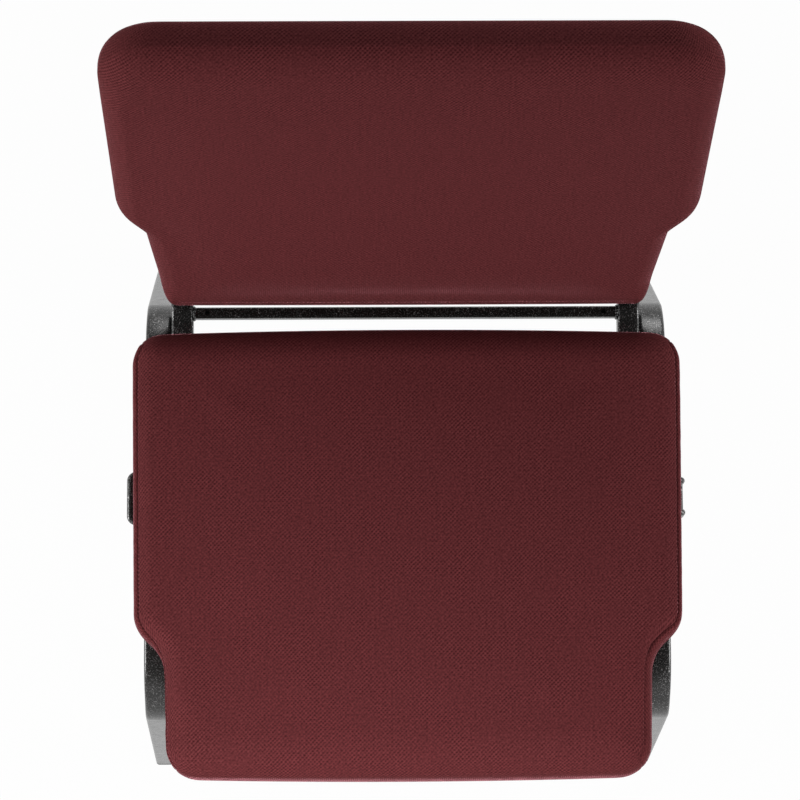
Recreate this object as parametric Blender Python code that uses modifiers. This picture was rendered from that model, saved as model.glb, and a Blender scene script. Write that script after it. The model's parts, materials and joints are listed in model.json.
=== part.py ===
"""Church chair: two T-shaped upholstered pads on a welded frame of square steel tube.

Metres, +Z up, and the chair faces -Y. Lengths along Y are measured from the middle of the seat.
One parent empty then moves the whole chair, so that the origin lies on the floor under the middle
of its box. A second empty carries the back, which is built lying flat with its front face up.
"""

import math

import bmesh
import bpy
import numpy as np
from mathutils import Matrix, Vector

# Fits between pieces
TOUCH_GAP = 0.0003
FOAM_CLEARANCE = 0.0016
SCREW_CLEARANCE = 0.0003
CUT_OVERRUN = 0.002
WALL_CUT_REACH = 0.004
WELD_DISTANCE = 0.00001
TURNED_WELD_DISTANCE = 0.00005
SHARP_ANGLE = math.radians(35)

# Seat, seen from above: a wide rear part and a narrower front part
SEAT_WIDTH = 0.4735
SEAT_SHOULDER_WIDTH = 0.468
SEAT_FRONT_WIDTH = 0.4148
SEAT_FRONT_TAPER = 0.0015
SEAT_DEPTH = 0.388
SEAT_FRONT_CORNER = 0.027
SEAT_REAR_CORNER = 0.026
SEAT_SHOULDER_REAR = -0.0643
SEAT_SHOULDER_FRONT = -0.0878
SEAT_SHOULDER_ROUND = 0.027
SEAT_NOTCH_ROUND = 0.038
SEAT_BOW = 0.004

# Seat, seen from the side
RAIL_TOP = 0.397
SEAT_THICKNESS = 0.076
SEAT_CROWN = 0.012
SEAT_WAIST_ABOVE_RAIL = 0.040
SEAT_EDGE_ROUND = 0.020
SEAT_FRONT_ROUND = 0.038
SEAT_REAR_ROUND = 0.032
SEAT_SIDE_KNEE = 0.008
SEAT_KNEE_DRAWN_IN = 0.0005
SEAT_FOOT_DRAWN_IN = 0.002
SEAT_FOOT_ROUND = 0.006
SEAT_BOARD_THICKNESS = 0.012
SEAT_BOARD_INSET = 0.0095
DUST_COVER_THICKNESS = 0.0008
DUST_COVER_INSET = 0.012
HEM_WIDTH = 0.016
COVER_THICKNESS = 0.001

# Back, seen from the front: wide wings above a narrower lower part
BACK_OUTSIDE_UPRIGHT = 0.0048
BACK_FLARE = 0.0108
BACK_WING = 0.0205
BACK_HEIGHT = 0.442
BACK_TOP_CORNER = 0.047
BACK_BOTTOM_CORNER = 0.014
BACK_SHOULDER_TOP = 0.1715
BACK_SHOULDER_BOTTOM = 0.137
BACK_SHOULDER_ROUND = 0.050
BACK_NOTCH_ROUND = 0.032

# Back, seen from the side
BACK_LEAN = math.radians(13.4)
BACK_BOTTOM_BEHIND_SEAT = 0.0155
BACK_ABOVE_RAIL = 0.029
BACK_FOAM_THICKNESS = 0.020
BACK_FOAM_TRIM = 0.004
BACK_CROWN = 0.005
BACK_EDGE_ROUND = 0.020
BACK_TOP_ROUND = 0.036
BACK_BOTTOM_ROUND = 0.010
BACK_RIM_DEPTH = 0.026
BACK_ROLL = 0.022
BACK_BOARD_THICKNESS = 0.0065
BACK_PANEL_THICKNESS = 0.003
BACK_BOARD_INSET = 0.004
BACK_PANEL_MARGIN = 0.0025

# Square tubes
LEG_TUBE = 0.0222
LEG_TUBE_CORNER = 0.0032
LEG_BEND = 0.044
UPRIGHT_TUBE = 0.01905
UPRIGHT_TUBE_CORNER = 0.0028
UPRIGHT_BEND = 0.040
TUBE_WALL = 0.0015
FRONT_LEG_SPLAY = math.radians(1.7)
REAR_LEG_SPLAY = math.radians(1.2)
FRONT_LEG_LEAN = math.radians(2.65)
REAR_LEG_LEAN = math.radians(19)
RAIL_SET_IN = 0.0093
FRONT_FOOT_BEHIND_SEAT_FRONT = 0.0432
REAR_FOOT_BEHIND_SEAT_REAR = 0.1623
UPRIGHT_FRONT_END = -0.052
UPRIGHT_TOP_END = 0.345
REAR_BAR_TUBE = 0.010
REAR_BAR_CORNER = 0.0018
REAR_BAR_BEHIND_SEAT = 0.0183
REAR_BAR_HOLE_RADIUS = 0.0022
REAR_BAR_HOLE_FROM_END = 0.012

# Glides, caps and bumpers
GLIDE_SOLE = 0.008
GLIDE_PLUG = 0.018
CAP_HEAD = 0.003
CAP_PLUG = 0.012
BUMPER_HEAD_RADIUS = 0.008
BUMPER_HEAD = 0.006
BUMPER_TIP_RADIUS = 0.0064
BUMPER_TAPER = 0.0024
BUMPER_STEM_RADIUS = 0.0037
BUMPER_STEM = 0.006
BUMPER_PLACES = {"front": -0.045, "rear": 0.165}

# Bolts, screws and tee nuts
BOLT_RADIUS = 0.003
BOLT_HEAD_RADIUS = 0.0065
BOLT_HEAD = 0.005
BOLT_TIP_BELOW_BOARD_TOP = 0.003
SCREW_HEAD_RADIUS = 0.0052
SCREW_HEAD = 0.0035
SCREW_LENGTH = 0.0075
ACCESS_HOLE_RADIUS = 0.006
NUT_FLANGE_RADIUS = 0.009
NUT_FLANGE = 0.0015
NUT_BARREL_RADIUS = 0.004
SEAT_NUT_BARREL = 0.008
BACK_NUT_BARREL = 0.004
SEAT_BOLT_PLACES = {"front": -0.030, "rear": 0.150}
BACK_SCREW_PLACES = {"lower": 0.090, "upper": 0.290}

# Ganging rods
GANG_ROD_RADIUS = 0.003
GANG_STAND_OUT = 0.016
GANG_MIDDLE = 0.055
GANG_LOOP_LENGTH = 0.041
GANG_HOOK_LENGTH = 0.028
GANG_HOOK_DROP = 0.026
GANG_BEND = 0.005
GANG_BELOW_RAIL_TOP = 0.0111

# Smoothness of round stretches
CORNER_STEPS = 2
BEND_STEPS = 6
ROD_BEND_STEPS = 4
OUTLINE_STEPS = 5
TURNED_STEPS = 12
CORNER_ROWS = 6
ROLL_STEPS = 3
SHOULDER_ROWS = 7
RIM_SHARES = (0.0, 0.1, 0.42, 1.0)
INNER_COLUMNS = 4
ROUND_FADE = 2.0
CROWN_POWER = 0.75

# Heights and places that follow from the sizes above
RAIL_MIDDLE = RAIL_TOP - LEG_TUBE / 2
RAIL_OUTER = SEAT_WIDTH / 2 - RAIL_SET_IN
RAIL_X = RAIL_OUTER - LEG_TUBE / 2
RAIL_INNER = RAIL_OUTER - LEG_TUBE
UPRIGHT_X = RAIL_INNER - TOUCH_GAP - UPRIGHT_TUBE / 2
UPRIGHT_INNER = UPRIGHT_X - UPRIGHT_TUBE / 2
UPRIGHT_OUTER = UPRIGHT_X + UPRIGHT_TUBE / 2
GANG_REACH = RAIL_OUTER + GANG_STAND_OUT
RUN_MIDDLE = RAIL_TOP - UPRIGHT_TUBE / 2
SPLAY_START = RAIL_TOP - LEG_TUBE
SEAT_TOP = RAIL_TOP + SEAT_THICKNESS
SEAT_WAIST = RAIL_TOP + SEAT_WAIST_ABOVE_RAIL
SEAT_REAR = SEAT_DEPTH / 2
SEAT_FRONT = -SEAT_DEPTH / 2
REAR_BAR_Y = SEAT_REAR + REAR_BAR_BEHIND_SEAT + REAR_BAR_TUBE / 2
REAR_BAR_MIDDLE = RAIL_TOP - REAR_BAR_TUBE / 2
FRONT_BAR_Y = UPRIGHT_FRONT_END - TOUCH_GAP - UPRIGHT_TUBE / 2

DUST_COVER_BOTTOM = RAIL_TOP + TOUCH_GAP
HEM_BOTTOM = DUST_COVER_BOTTOM + DUST_COVER_THICKNESS + TOUCH_GAP
SEAT_BOARD_BOTTOM = HEM_BOTTOM + COVER_THICKNESS + TOUCH_GAP
SEAT_BOARD_TOP = SEAT_BOARD_BOTTOM + SEAT_BOARD_THICKNESS
SEAT_FOAM_BOTTOM = SEAT_BOARD_TOP + TOUCH_GAP

BACK_BOTTOM_WIDTH = 2 * (UPRIGHT_OUTER + BACK_OUTSIDE_UPRIGHT)
BACK_WAIST_WIDTH = BACK_BOTTOM_WIDTH + 2 * BACK_FLARE
BACK_WIDTH = BACK_WAIST_WIDTH + 2 * BACK_WING
BACK_REAR_ROUND = BACK_PANEL_THICKNESS + COVER_THICKNESS
BACK_FILLER_INSET = BACK_ROLL / 2
BACK_PANEL_LEVEL = COVER_THICKNESS + TOUCH_GAP
TUBE_BACK_LEVEL = BACK_PANEL_LEVEL + BACK_PANEL_THICKNESS + TOUCH_GAP
TUBE_LEVEL = TUBE_BACK_LEVEL + UPRIGHT_TUBE / 2
BACK_BOARD_LEVEL = TUBE_BACK_LEVEL + UPRIGHT_TUBE + TOUCH_GAP
BACK_FOAM_LEVEL = BACK_BOARD_LEVEL + BACK_BOARD_THICKNESS + TOUCH_GAP
BACK_DEPTH = BACK_FOAM_LEVEL + BACK_FOAM_THICKNESS + TOUCH_GAP + COVER_THICKNESS
BACK_RIM = BACK_DEPTH - BACK_RIM_DEPTH

BACK_UP = Vector((0.0, math.sin(BACK_LEAN), math.cos(BACK_LEAN)))
BACK_FORWARD = Vector((0.0, -math.cos(BACK_LEAN), math.sin(BACK_LEAN)))
BACK_FRONT_BOTTOM = Vector((0.0, SEAT_REAR + BACK_BOTTOM_BEHIND_SEAT, RAIL_TOP + BACK_ABOVE_RAIL))
BACK_PLACE = BACK_FRONT_BOTTOM - BACK_FORWARD * BACK_DEPTH

FRONT_FOOT_Y = SEAT_FRONT + FRONT_FOOT_BEHIND_SEAT_FRONT + LEG_TUBE / 2 / math.cos(FRONT_LEG_LEAN)
REAR_FOOT_FACE = SEAT_REAR + REAR_FOOT_BEHIND_SEAT_REAR
REAR_FOOT_Y = REAR_FOOT_FACE - LEG_TUBE / 2 / math.cos(REAR_LEG_LEAN)
BACK_REAR_TOP = BACK_PLACE + BACK_UP * (BACK_HEIGHT - BACK_ROLL)
REAR_REACH = max(REAR_FOOT_FACE, BACK_REAR_TOP.y)
ORIGIN_SHIFT = (SEAT_FRONT + REAR_REACH) / 2

SIDES = {"left": -1, "right": 1}


def clear_scene():
    for item in list(bpy.data.objects):
        bpy.data.objects.remove(item, do_unlink=True)


def new_collection(name):
    collection = bpy.data.collections.new(name)
    bpy.context.scene.collection.children.link(collection)
    return collection


def new_material(name, colour, roughness, metallic=0.0):
    material = bpy.data.materials.new(name)
    material.use_nodes = True
    shader = material.node_tree.nodes["Principled BSDF"]
    shader.inputs["Base Color"].default_value = (*colour, 1.0)
    shader.inputs["Roughness"].default_value = roughness
    shader.inputs["Metallic"].default_value = metallic
    return material


clear_scene()
PARTS = new_collection("church_chair")
CUTTERS = new_collection("cutters")
CHAIR = bpy.data.objects.new("chair_origin", None)
CHAIR.location = (0.0, -ORIGIN_SHIFT, 0.0)
PARTS.objects.link(CHAIR)
BACK = bpy.data.objects.new("back_plane", None)
BACK.parent = CHAIR
BACK.location = BACK_PLACE
BACK.rotation_euler = (math.pi / 2 - BACK_LEAN, 0.0, 0.0)
PARTS.objects.link(BACK)

FABRIC = new_material("burgundy_fabric", (0.098, 0.024, 0.026), 0.9)
FOAM = new_material("foam", (0.72, 0.66, 0.45), 0.95)
PLYWOOD = new_material("plywood", (0.50, 0.34, 0.19), 0.7)
DUST_CLOTH = new_material("dust_cloth", (0.015, 0.015, 0.016), 0.95)
FRAME_STEEL = new_material("silver_vein_steel", (0.020, 0.019, 0.019), 0.35, 0.4)
ZINC = new_material("zinc_plated_steel", (0.55, 0.55, 0.52), 0.35, 1.0)
BLACK_PLASTIC = new_material("black_plastic", (0.02, 0.02, 0.02), 0.5)


def add_part(name, data, material, parent=CHAIR, place=(0.0, 0.0, 0.0)):
    item = bpy.data.objects.new(name, data)
    data.materials.append(material)
    PARTS.objects.link(item)
    item.parent = parent
    item.location = place
    return item


def add_cutter(name, rods, parent=CHAIR):
    """One cutter of upright cylinders, each given as (x, y, radius, bottom, top)."""
    shape = bmesh.new()
    for x, y, radius, bottom, top in rods:
        middle = Matrix.Translation((x, y, (bottom + top) / 2))
        outer = radius / math.cos(math.pi / TURNED_STEPS)
        bmesh.ops.create_cone(
            shape, cap_ends=True, segments=TURNED_STEPS, radius1=outer, radius2=outer,
            depth=top - bottom, matrix=middle)
    mesh = bpy.data.meshes.new(name)
    shape.to_mesh(mesh)
    shape.free()
    cutter = bpy.data.objects.new(name, mesh)
    CUTTERS.objects.link(cutter)
    cutter.parent = parent
    cutter.hide_render = True
    cutter.display_type = 'WIRE'
    return cutter


def cut(item, cutter):
    boolean = item.modifiers.new(cutter.name, 'BOOLEAN')
    boolean.operation = 'DIFFERENCE'
    boolean.object = cutter


def finish_mesh(shape, name):
    bmesh.ops.recalc_face_normals(shape, faces=shape.faces)
    mesh = bpy.data.meshes.new(name)
    shape.to_mesh(mesh)
    shape.free()
    mesh.shade_smooth()
    mesh.set_sharp_from_angle(angle=SHARP_ANGLE)
    return mesh


def arc_points(before, corner, after, radius, steps):
    """Points of the round that replaces one corner between two straight runs."""
    arriving = (corner - before).normalized()
    leaving = (after - corner).normalized()
    turn = arriving.angle(leaving)
    start = corner - arriving * radius * math.tan(turn / 2)
    inward = (leaving - arriving * arriving.dot(leaving)).normalized()
    centre = start + inward * radius
    points = []
    for step in range(steps + 1):
        angle = turn * step / steps
        points.append(centre - inward * radius * math.cos(angle) + arriving * radius * math.sin(angle))
    return points


def rounded_path(corners, radius, steps):
    """Open run through the corners, with each inner corner rounded."""
    points = [corners[0]]
    for before, corner, after in zip(corners, corners[1:], corners[2:]):
        points.extend(arc_points(before, corner, after, radius, steps))
    points.append(corners[-1])
    return points


def rounded_loop(corners, radii, steps):
    """Closed outline through the corners, each rounded by its own radius."""
    points = []
    for index, (corner, radius) in enumerate(zip(corners, radii)):
        before = corners[index - 1]
        after = corners[(index + 1) % len(corners)]
        points.extend(arc_points(before, corner, after, radius, steps))
    return points


def square_section(size, corner):
    half = size / 2
    corners = [Vector((half, -half)), Vector((half, half)), Vector((-half, half)), Vector((-half, -half))]
    return rounded_loop(corners, [corner] * 4, CORNER_STEPS)


def poly_curve(name, points, dimensions, closed=False):
    curve = bpy.data.curves.new(name, 'CURVE')
    curve.dimensions = dimensions
    spline = curve.splines.new('POLY')
    spline.points.add(len(points) - 1)
    for target, point in zip(spline.points, points):
        target.co = (*point.to_3d(), 1.0)
    spline.use_cyclic_u = closed
    return curve


def mesh_of_curve(curve, name):
    """The curve's surface as a mesh with its loose rims welded."""
    guide = bpy.data.objects.new(name + "_guide", curve)
    CUTTERS.objects.link(guide)
    evaluated = guide.evaluated_get(bpy.context.evaluated_depsgraph_get())
    rough = bpy.data.meshes.new_from_object(evaluated)
    bpy.data.objects.remove(guide, do_unlink=True)
    shape = bmesh.new()
    shape.from_mesh(rough)
    bmesh.ops.remove_doubles(shape, verts=shape.verts, dist=WELD_DISTANCE)
    return shape


def tube_shape(name, path, size, corner):
    """Open square tube along a path that is given in the YZ plane as (y, z)."""
    section = poly_curve(name + "_section", square_section(size, corner), '2D', closed=True)
    section_guide = bpy.data.objects.new(name + "_section_guide", section)
    CUTTERS.objects.link(section_guide)
    curve = poly_curve(name, path, '2D')
    curve.bevel_mode = 'OBJECT'
    curve.bevel_object = section_guide
    shape = mesh_of_curve(curve, name)
    bpy.data.objects.remove(section_guide, do_unlink=True)
    stand_up = Matrix(((0, 0, 1, 0), (1, 0, 0, 0), (0, 1, 0, 0), (0, 0, 0, 1)))
    bmesh.ops.transform(shape, matrix=stand_up, verts=shape.verts)
    return shape


def make_hollow(item):
    wall = item.modifiers.new("tube_wall", 'SOLIDIFY')
    wall.thickness = TUBE_WALL
    wall.offset = -1.0


def turned_mesh(name, profile, closed=False):
    """Profile of (radius, height) that runs down its outer side."""
    shape = bmesh.new()
    points = [shape.verts.new((radius, 0.0, height)) for radius, height in profile]
    for first, second in zip(points, points[1:]):
        shape.edges.new((first, second))
    if closed:
        shape.edges.new((points[-1], points[0]))
    mesh = bpy.data.meshes.new(name)
    shape.to_mesh(mesh)
    shape.free()
    return mesh


def turn_round(item):
    screw = item.modifiers.new("turned", 'SCREW')
    screw.axis = 'Z'
    screw.steps = TURNED_STEPS
    screw.render_steps = TURNED_STEPS
    screw.use_merge_vertices = True
    screw.merge_threshold = TURNED_WELD_DISTANCE


def plate_shape(name, outline, thickness):
    """Flat plate on its bottom face, from an outline in the XY plane."""
    curve = poly_curve(name, [Vector(point) for point in outline], '2D', closed=True)
    curve.fill_mode = 'BOTH'
    curve.extrude = thickness / 2
    shape = mesh_of_curve(curve, name)
    bmesh.ops.translate(shape, verts=shape.verts, vec=(0.0, 0.0, thickness / 2))
    return shape


# Outlines of the two pads

def mirrored_outline(right_corners, right_radii):
    """Closed outline, counter-clockwise, from the corners of its right half, front to rear."""
    corners = [Vector(corner) for corner in right_corners]
    corners += [Vector((-x, y)) for x, y in reversed(right_corners)]
    radii = list(right_radii) + list(reversed(right_radii))
    return np.array([tuple(point) for point in rounded_loop(corners, radii, OUTLINE_STEPS)])


def outward_normals(points):
    along = np.roll(points, -1, axis=0) - np.roll(points, 1, axis=0)
    normals = np.stack((along[:, 1], -along[:, 0]), axis=1)
    return normals / np.linalg.norm(normals, axis=1, keepdims=True)


def inset_outline(outline, distance):
    """Outline drawn in by one distance, or by one for each of its points."""
    return outline - outward_normals(outline) * np.broadcast_to(distance, len(outline))[:, None]


def seat_outline():
    front_half = SEAT_FRONT_WIDTH / 2
    tip_half = front_half - SEAT_FRONT_TAPER
    shoulder_half = SEAT_SHOULDER_WIDTH / 2
    rear_half = SEAT_WIDTH / 2
    corners = (
        (tip_half, SEAT_FRONT + SEAT_BOW), (front_half, SEAT_SHOULDER_FRONT),
        (shoulder_half, SEAT_SHOULDER_REAR), (rear_half, SEAT_REAR - SEAT_BOW))
    radii = (SEAT_FRONT_CORNER, SEAT_NOTCH_ROUND, SEAT_SHOULDER_ROUND, SEAT_REAR_CORNER)
    return mirrored_outline(corners, radii)


def back_outline():
    corners = (
        (BACK_BOTTOM_WIDTH / 2, 0.0), (BACK_WAIST_WIDTH / 2, BACK_SHOULDER_BOTTOM),
        (BACK_WIDTH / 2, BACK_SHOULDER_TOP), (BACK_WIDTH / 2, BACK_HEIGHT))
    radii = (BACK_BOTTOM_CORNER, BACK_NOTCH_ROUND, BACK_SHOULDER_ROUND, BACK_TOP_CORNER)
    return mirrored_outline(corners, radii)


def half_widths(outline, rows):
    right = outline[outline[:, 0] > 0]
    order = np.argsort(right[:, 1], kind="stable")
    return np.interp(rows, right[order, 1], right[order, 0])


def edge_distances(points, outline):
    """Distance from each point to the nearest stretch of the outline."""
    starts = outline
    spans = np.roll(outline, -1, axis=0) - outline
    offsets = points[:, None, :] - starts[None, :, :]
    shares = (offsets * spans).sum(axis=2) / (spans * spans).sum(axis=1)
    nearest = offsets - np.clip(shares, 0.0, 1.0)[:, :, None] * spans
    return np.linalg.norm(nearest, axis=2).min(axis=1)


def corner_rows(radius):
    """Distances from an end of the pad at which rows follow the round of its corners."""
    angles = np.linspace(0.0, math.pi / 2, CORNER_ROWS)
    return radius * (1.0 - np.cos(angles))


def pad_rows(outline, front_corner, rear_corner, shoulder_low, shoulder_high):
    low = outline[:, 1].min()
    high = outline[:, 1].max()
    front = low + corner_rows(front_corner)
    rear = high - corner_rows(rear_corner)
    shoulders = np.linspace(shoulder_low, shoulder_high, SHOULDER_ROWS)
    spare = (shoulder_high + rear.min()) / 2
    lead = (front.max() + shoulder_low) / 2
    return np.unique(np.round(np.concatenate((front, [lead], shoulders, [spare], rear)), 6))


def quarter_round(share):
    share = np.clip(share, 0.0, 1.0)
    return np.sqrt(1.0 - (1.0 - share) ** 2)


def end_share(distance, end_round):
    """How far the edge round of one end of a pad still holds at this distance from the end."""
    return np.clip(ROUND_FADE - distance / end_round, 0.0, 1.0)


def soft_sheet(outline, rows, edge_round, level):
    """Grid that fills the outline. Returns the shape, its rim of points in order and their plan."""
    widths = half_widths(outline, rows)
    rounds = edge_round(rows)
    rim = np.array(RIM_SHARES)
    inner = np.linspace(-1.0, 1.0, INNER_COLUMNS + 2)[1:-1]
    columns = []
    for width, round_size in zip(widths, rounds):
        left = -width + rim * round_size
        columns.append(np.concatenate((left, inner * (width - round_size), -left[::-1])))
    plan_x = np.array(columns)
    plan_y = np.repeat(rows[:, None], plan_x.shape[1], axis=1)
    plan = np.stack((plan_x.ravel(), plan_y.ravel()), axis=1)
    distance = edge_distances(plan, outline)
    heights = level(plan, distance, np.repeat(rounds, plan_x.shape[1]))
    row_count, column_count = plan_x.shape
    shape = bmesh.new()
    bmesh.ops.create_grid(shape, x_segments=column_count - 1, y_segments=row_count - 1, size=1.0)
    points = {}
    for vert in shape.verts:
        column = round((vert.co.x + 1.0) / 2 * (column_count - 1))
        row = round((vert.co.y + 1.0) / 2 * (row_count - 1))
        index = row * column_count + column
        vert.co = (plan[index, 0], plan[index, 1], heights[index])
        points[row, column] = vert
    last_row = row_count - 1
    last_column = column_count - 1
    rim_points = [points[0, column] for column in range(column_count)]
    rim_points += [points[row, last_column] for row in range(1, row_count)]
    rim_points += [points[last_row, column] for column in range(last_column - 1, -1, -1)]
    rim_points += [points[row, 0] for row in range(last_row - 1, 0, -1)]
    rim_plan = np.array([tuple(vert.co.xy) for vert in rim_points])
    return shape, rim_points, rim_plan


def extend_rim(shape, rim_points, rim_plan, inset, level):
    """Extrudes the rim to new levels, drawn in from the sheet's outline by the inset."""
    pairs = zip(rim_points, rim_points[1:] + rim_points[:1])
    edges = [shape.edges.get(pair) for pair in pairs]
    made = bmesh.ops.extrude_edge_only(shape, edges=edges)["geom"]
    new_points = {item for item in made if isinstance(item, bmesh.types.BMVert)}
    places = inset_outline(rim_plan, inset)
    heights = np.broadcast_to(level, len(places))
    ring = []
    for old, place, height in zip(rim_points, places, heights):
        new = next(edge.other_vert(old) for edge in old.link_edges if edge.other_vert(old) in new_points)
        new.co = (place[0], place[1], height)
        ring.append(new)
    return ring


def close_rim(shape, rim_points):
    pairs = zip(rim_points, rim_points[1:] + rim_points[:1])
    bmesh.ops.contextual_create(shape, geom=[shape.edges.get(pair) for pair in pairs])


# Seat

def seat_sheet(inset):
    outline = inset_outline(seat_outline(), inset)
    rows = pad_rows(
        outline, SEAT_FRONT_CORNER - inset, SEAT_REAR_CORNER - inset,
        SEAT_SHOULDER_FRONT - SEAT_NOTCH_ROUND / 2, SEAT_SHOULDER_REAR + SEAT_SHOULDER_ROUND / 2)

    def edge_round(y):
        front = end_share(y - SEAT_FRONT, SEAT_FRONT_ROUND)
        rear = end_share(SEAT_REAR - y, SEAT_REAR_ROUND)
        ends = (SEAT_FRONT_ROUND - SEAT_EDGE_ROUND) * front + (SEAT_REAR_ROUND - SEAT_EDGE_ROUND) * rear
        return SEAT_EDGE_ROUND + ends - inset

    def level(plan, distance, rounds):
        rise = SEAT_TOP - SEAT_CROWN - SEAT_WAIST - inset
        across = 1.0 - (plan[:, 0] / (SEAT_WIDTH / 2)) ** 2
        along = 1.0 - (plan[:, 1] / SEAT_REAR) ** 2
        crown = SEAT_CROWN * np.clip(across * along, 0.0, 1.0) ** CROWN_POWER
        return SEAT_WAIST + (rise + crown) * quarter_round(distance / rounds)

    return soft_sheet(outline, rows, edge_round, level)


def bow_ends(shape):
    """The middle of the seat's front and rear edges stands out a little."""
    for vert in shape.verts:
        across = 1.0 - (vert.co.x / (SEAT_WIDTH / 2)) ** 2
        vert.co.y += SEAT_BOW * max(across, 0.0) * vert.co.y / SEAT_REAR


def make_seat_cover():
    shape, rim, plan = seat_sheet(0.0)
    rings = (
        (SEAT_KNEE_DRAWN_IN, SEAT_FOAM_BOTTOM + SEAT_SIDE_KNEE),
        (SEAT_FOOT_DRAWN_IN, HEM_BOTTOM + SEAT_FOOT_ROUND),
        (SEAT_FOOT_ROUND, HEM_BOTTOM), (HEM_WIDTH, HEM_BOTTOM))
    for inset, level in rings:
        rim = extend_rim(shape, rim, plan, inset, level)
    bow_ends(shape)
    cover = add_part("seat_cover", finish_mesh(shape, "seat_cover"), FABRIC)
    cloth = cover.modifiers.new("cloth_thickness", 'SOLIDIFY')
    cloth.thickness = COVER_THICKNESS
    cloth.offset = -1.0


def make_seat_foam():
    inset = COVER_THICKNESS + FOAM_CLEARANCE
    shape, rim, plan = seat_sheet(inset)
    rim = extend_rim(shape, rim, plan, SEAT_KNEE_DRAWN_IN, SEAT_FOAM_BOTTOM + SEAT_SIDE_KNEE)
    rim = extend_rim(shape, rim, plan, SEAT_FOOT_DRAWN_IN, SEAT_FOAM_BOTTOM)
    close_rim(shape, rim)
    bow_ends(shape)
    add_part("seat_foam", finish_mesh(shape, "seat_foam"), FOAM)


def seat_bolt_spots():
    for side_name, side in SIDES.items():
        for place_name, y in SEAT_BOLT_PLACES.items():
            yield side_name + "_" + place_name, side * UPRIGHT_X, y


def nut_profile(barrel):
    """Ring from its flange on top down the outside and up its bore."""
    bore = BOLT_RADIUS + SCREW_CLEARANCE
    top = barrel + NUT_FLANGE
    return (
        (bore, top), (NUT_FLANGE_RADIUS, top), (NUT_FLANGE_RADIUS, barrel),
        (NUT_BARREL_RADIUS, barrel), (NUT_BARREL_RADIUS, 0.0), (bore, 0.0))


def nut_pocket(x, y, board_bottom, board_top):
    """Cylinders that make room for one tee nut in a board."""
    barrel = NUT_BARREL_RADIUS + SCREW_CLEARANCE
    flange = NUT_FLANGE_RADIUS + SCREW_CLEARANCE
    floor = board_top - NUT_FLANGE - 2 * TOUCH_GAP
    return (
        (x, y, barrel, board_bottom - CUT_OVERRUN, board_top + CUT_OVERRUN),
        (x, y, flange, floor, board_top + CUT_OVERRUN))


def make_seat_board():
    outline = inset_outline(seat_outline(), SEAT_BOARD_INSET)
    shape = plate_shape("seat_board", outline, SEAT_BOARD_THICKNESS)
    board = add_part(
        "seat_board", finish_mesh(shape, "seat_board"), PLYWOOD, place=(0.0, 0.0, SEAT_BOARD_BOTTOM))
    barrels = []
    flanges = []
    for name, x, y in seat_bolt_spots():
        barrel, flange = nut_pocket(x, y, SEAT_BOARD_BOTTOM, SEAT_BOARD_TOP)
        barrels.append(barrel)
        flanges.append(flange)
    cut(board, add_cutter("seat_board_barrel_holes", barrels))
    cut(board, add_cutter("seat_board_flange_pockets", flanges))


def make_dust_cover():
    outline = inset_outline(seat_outline(), DUST_COVER_INSET)
    shape = plate_shape("seat_dust_cover", outline, DUST_COVER_THICKNESS)
    cover = add_part(
        "seat_dust_cover", finish_mesh(shape, "seat_dust_cover"), DUST_CLOTH,
        place=(0.0, 0.0, DUST_COVER_BOTTOM))
    radius = BOLT_RADIUS + SCREW_CLEARANCE
    rods = [(x, y, radius, RAIL_TOP - CUT_OVERRUN, HEM_BOTTOM) for name, x, y in seat_bolt_spots()]
    cut(cover, add_cutter("dust_cover_holes", rods))


def make_seat_bolts():
    head_top = RAIL_TOP - UPRIGHT_TUBE - TOUCH_GAP
    length = SEAT_BOARD_TOP - BOLT_TIP_BELOW_BOARD_TOP - head_top
    profile = (
        (0.0, length), (BOLT_RADIUS, length), (BOLT_RADIUS, 0.0),
        (BOLT_HEAD_RADIUS, 0.0), (BOLT_HEAD_RADIUS, -BOLT_HEAD), (0.0, -BOLT_HEAD))
    nut_bottom = SEAT_BOARD_TOP - TOUCH_GAP - NUT_FLANGE - SEAT_NUT_BARREL
    for name, x, y in seat_bolt_spots():
        shank = turned_mesh("seat_bolt", profile)
        bolt = add_part("seat_bolt_" + name, shank, ZINC, place=(x, y, head_top))
        turn_round(bolt)
        ring = turned_mesh("seat_tee_nut", nut_profile(SEAT_NUT_BARREL), closed=True)
        nut = add_part("seat_tee_nut_" + name, ring, ZINC, place=(x, y, nut_bottom))
        turn_round(nut)


# Back

def back_sheet(inset, trim=0.0):
    """Front of the back pad, drawn in all round by the inset and then cut back by the trim."""
    outline = inset_outline(back_outline(), inset + trim)
    rows = pad_rows(
        outline, BACK_BOTTOM_CORNER - inset - trim, BACK_TOP_CORNER - inset - trim,
        BACK_SHOULDER_BOTTOM - BACK_NOTCH_ROUND / 3, BACK_SHOULDER_TOP + BACK_SHOULDER_ROUND / 3)

    def edge_round(y):
        top = end_share(BACK_HEIGHT - y, BACK_TOP_ROUND)
        bottom = end_share(y, BACK_EDGE_ROUND)
        ends = (BACK_TOP_ROUND - BACK_EDGE_ROUND) * top + (BACK_BOTTOM_ROUND - BACK_EDGE_ROUND) * bottom
        return BACK_EDGE_ROUND + ends - inset - trim

    def level(plan, distance, rounds):
        rise = BACK_DEPTH - BACK_CROWN - BACK_RIM - inset
        across = 1.0 - (plan[:, 0] / (BACK_WIDTH / 2)) ** 2
        along = 1.0 - (2.0 * plan[:, 1] / BACK_HEIGHT - 1.0) ** 2
        crown = BACK_CROWN * np.clip(across * along, 0.0, 1.0) ** CROWN_POWER
        return BACK_RIM + (rise + crown) * quarter_round((distance + trim) / (rounds + trim))

    return soft_sheet(outline, rows, edge_round, level)


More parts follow.
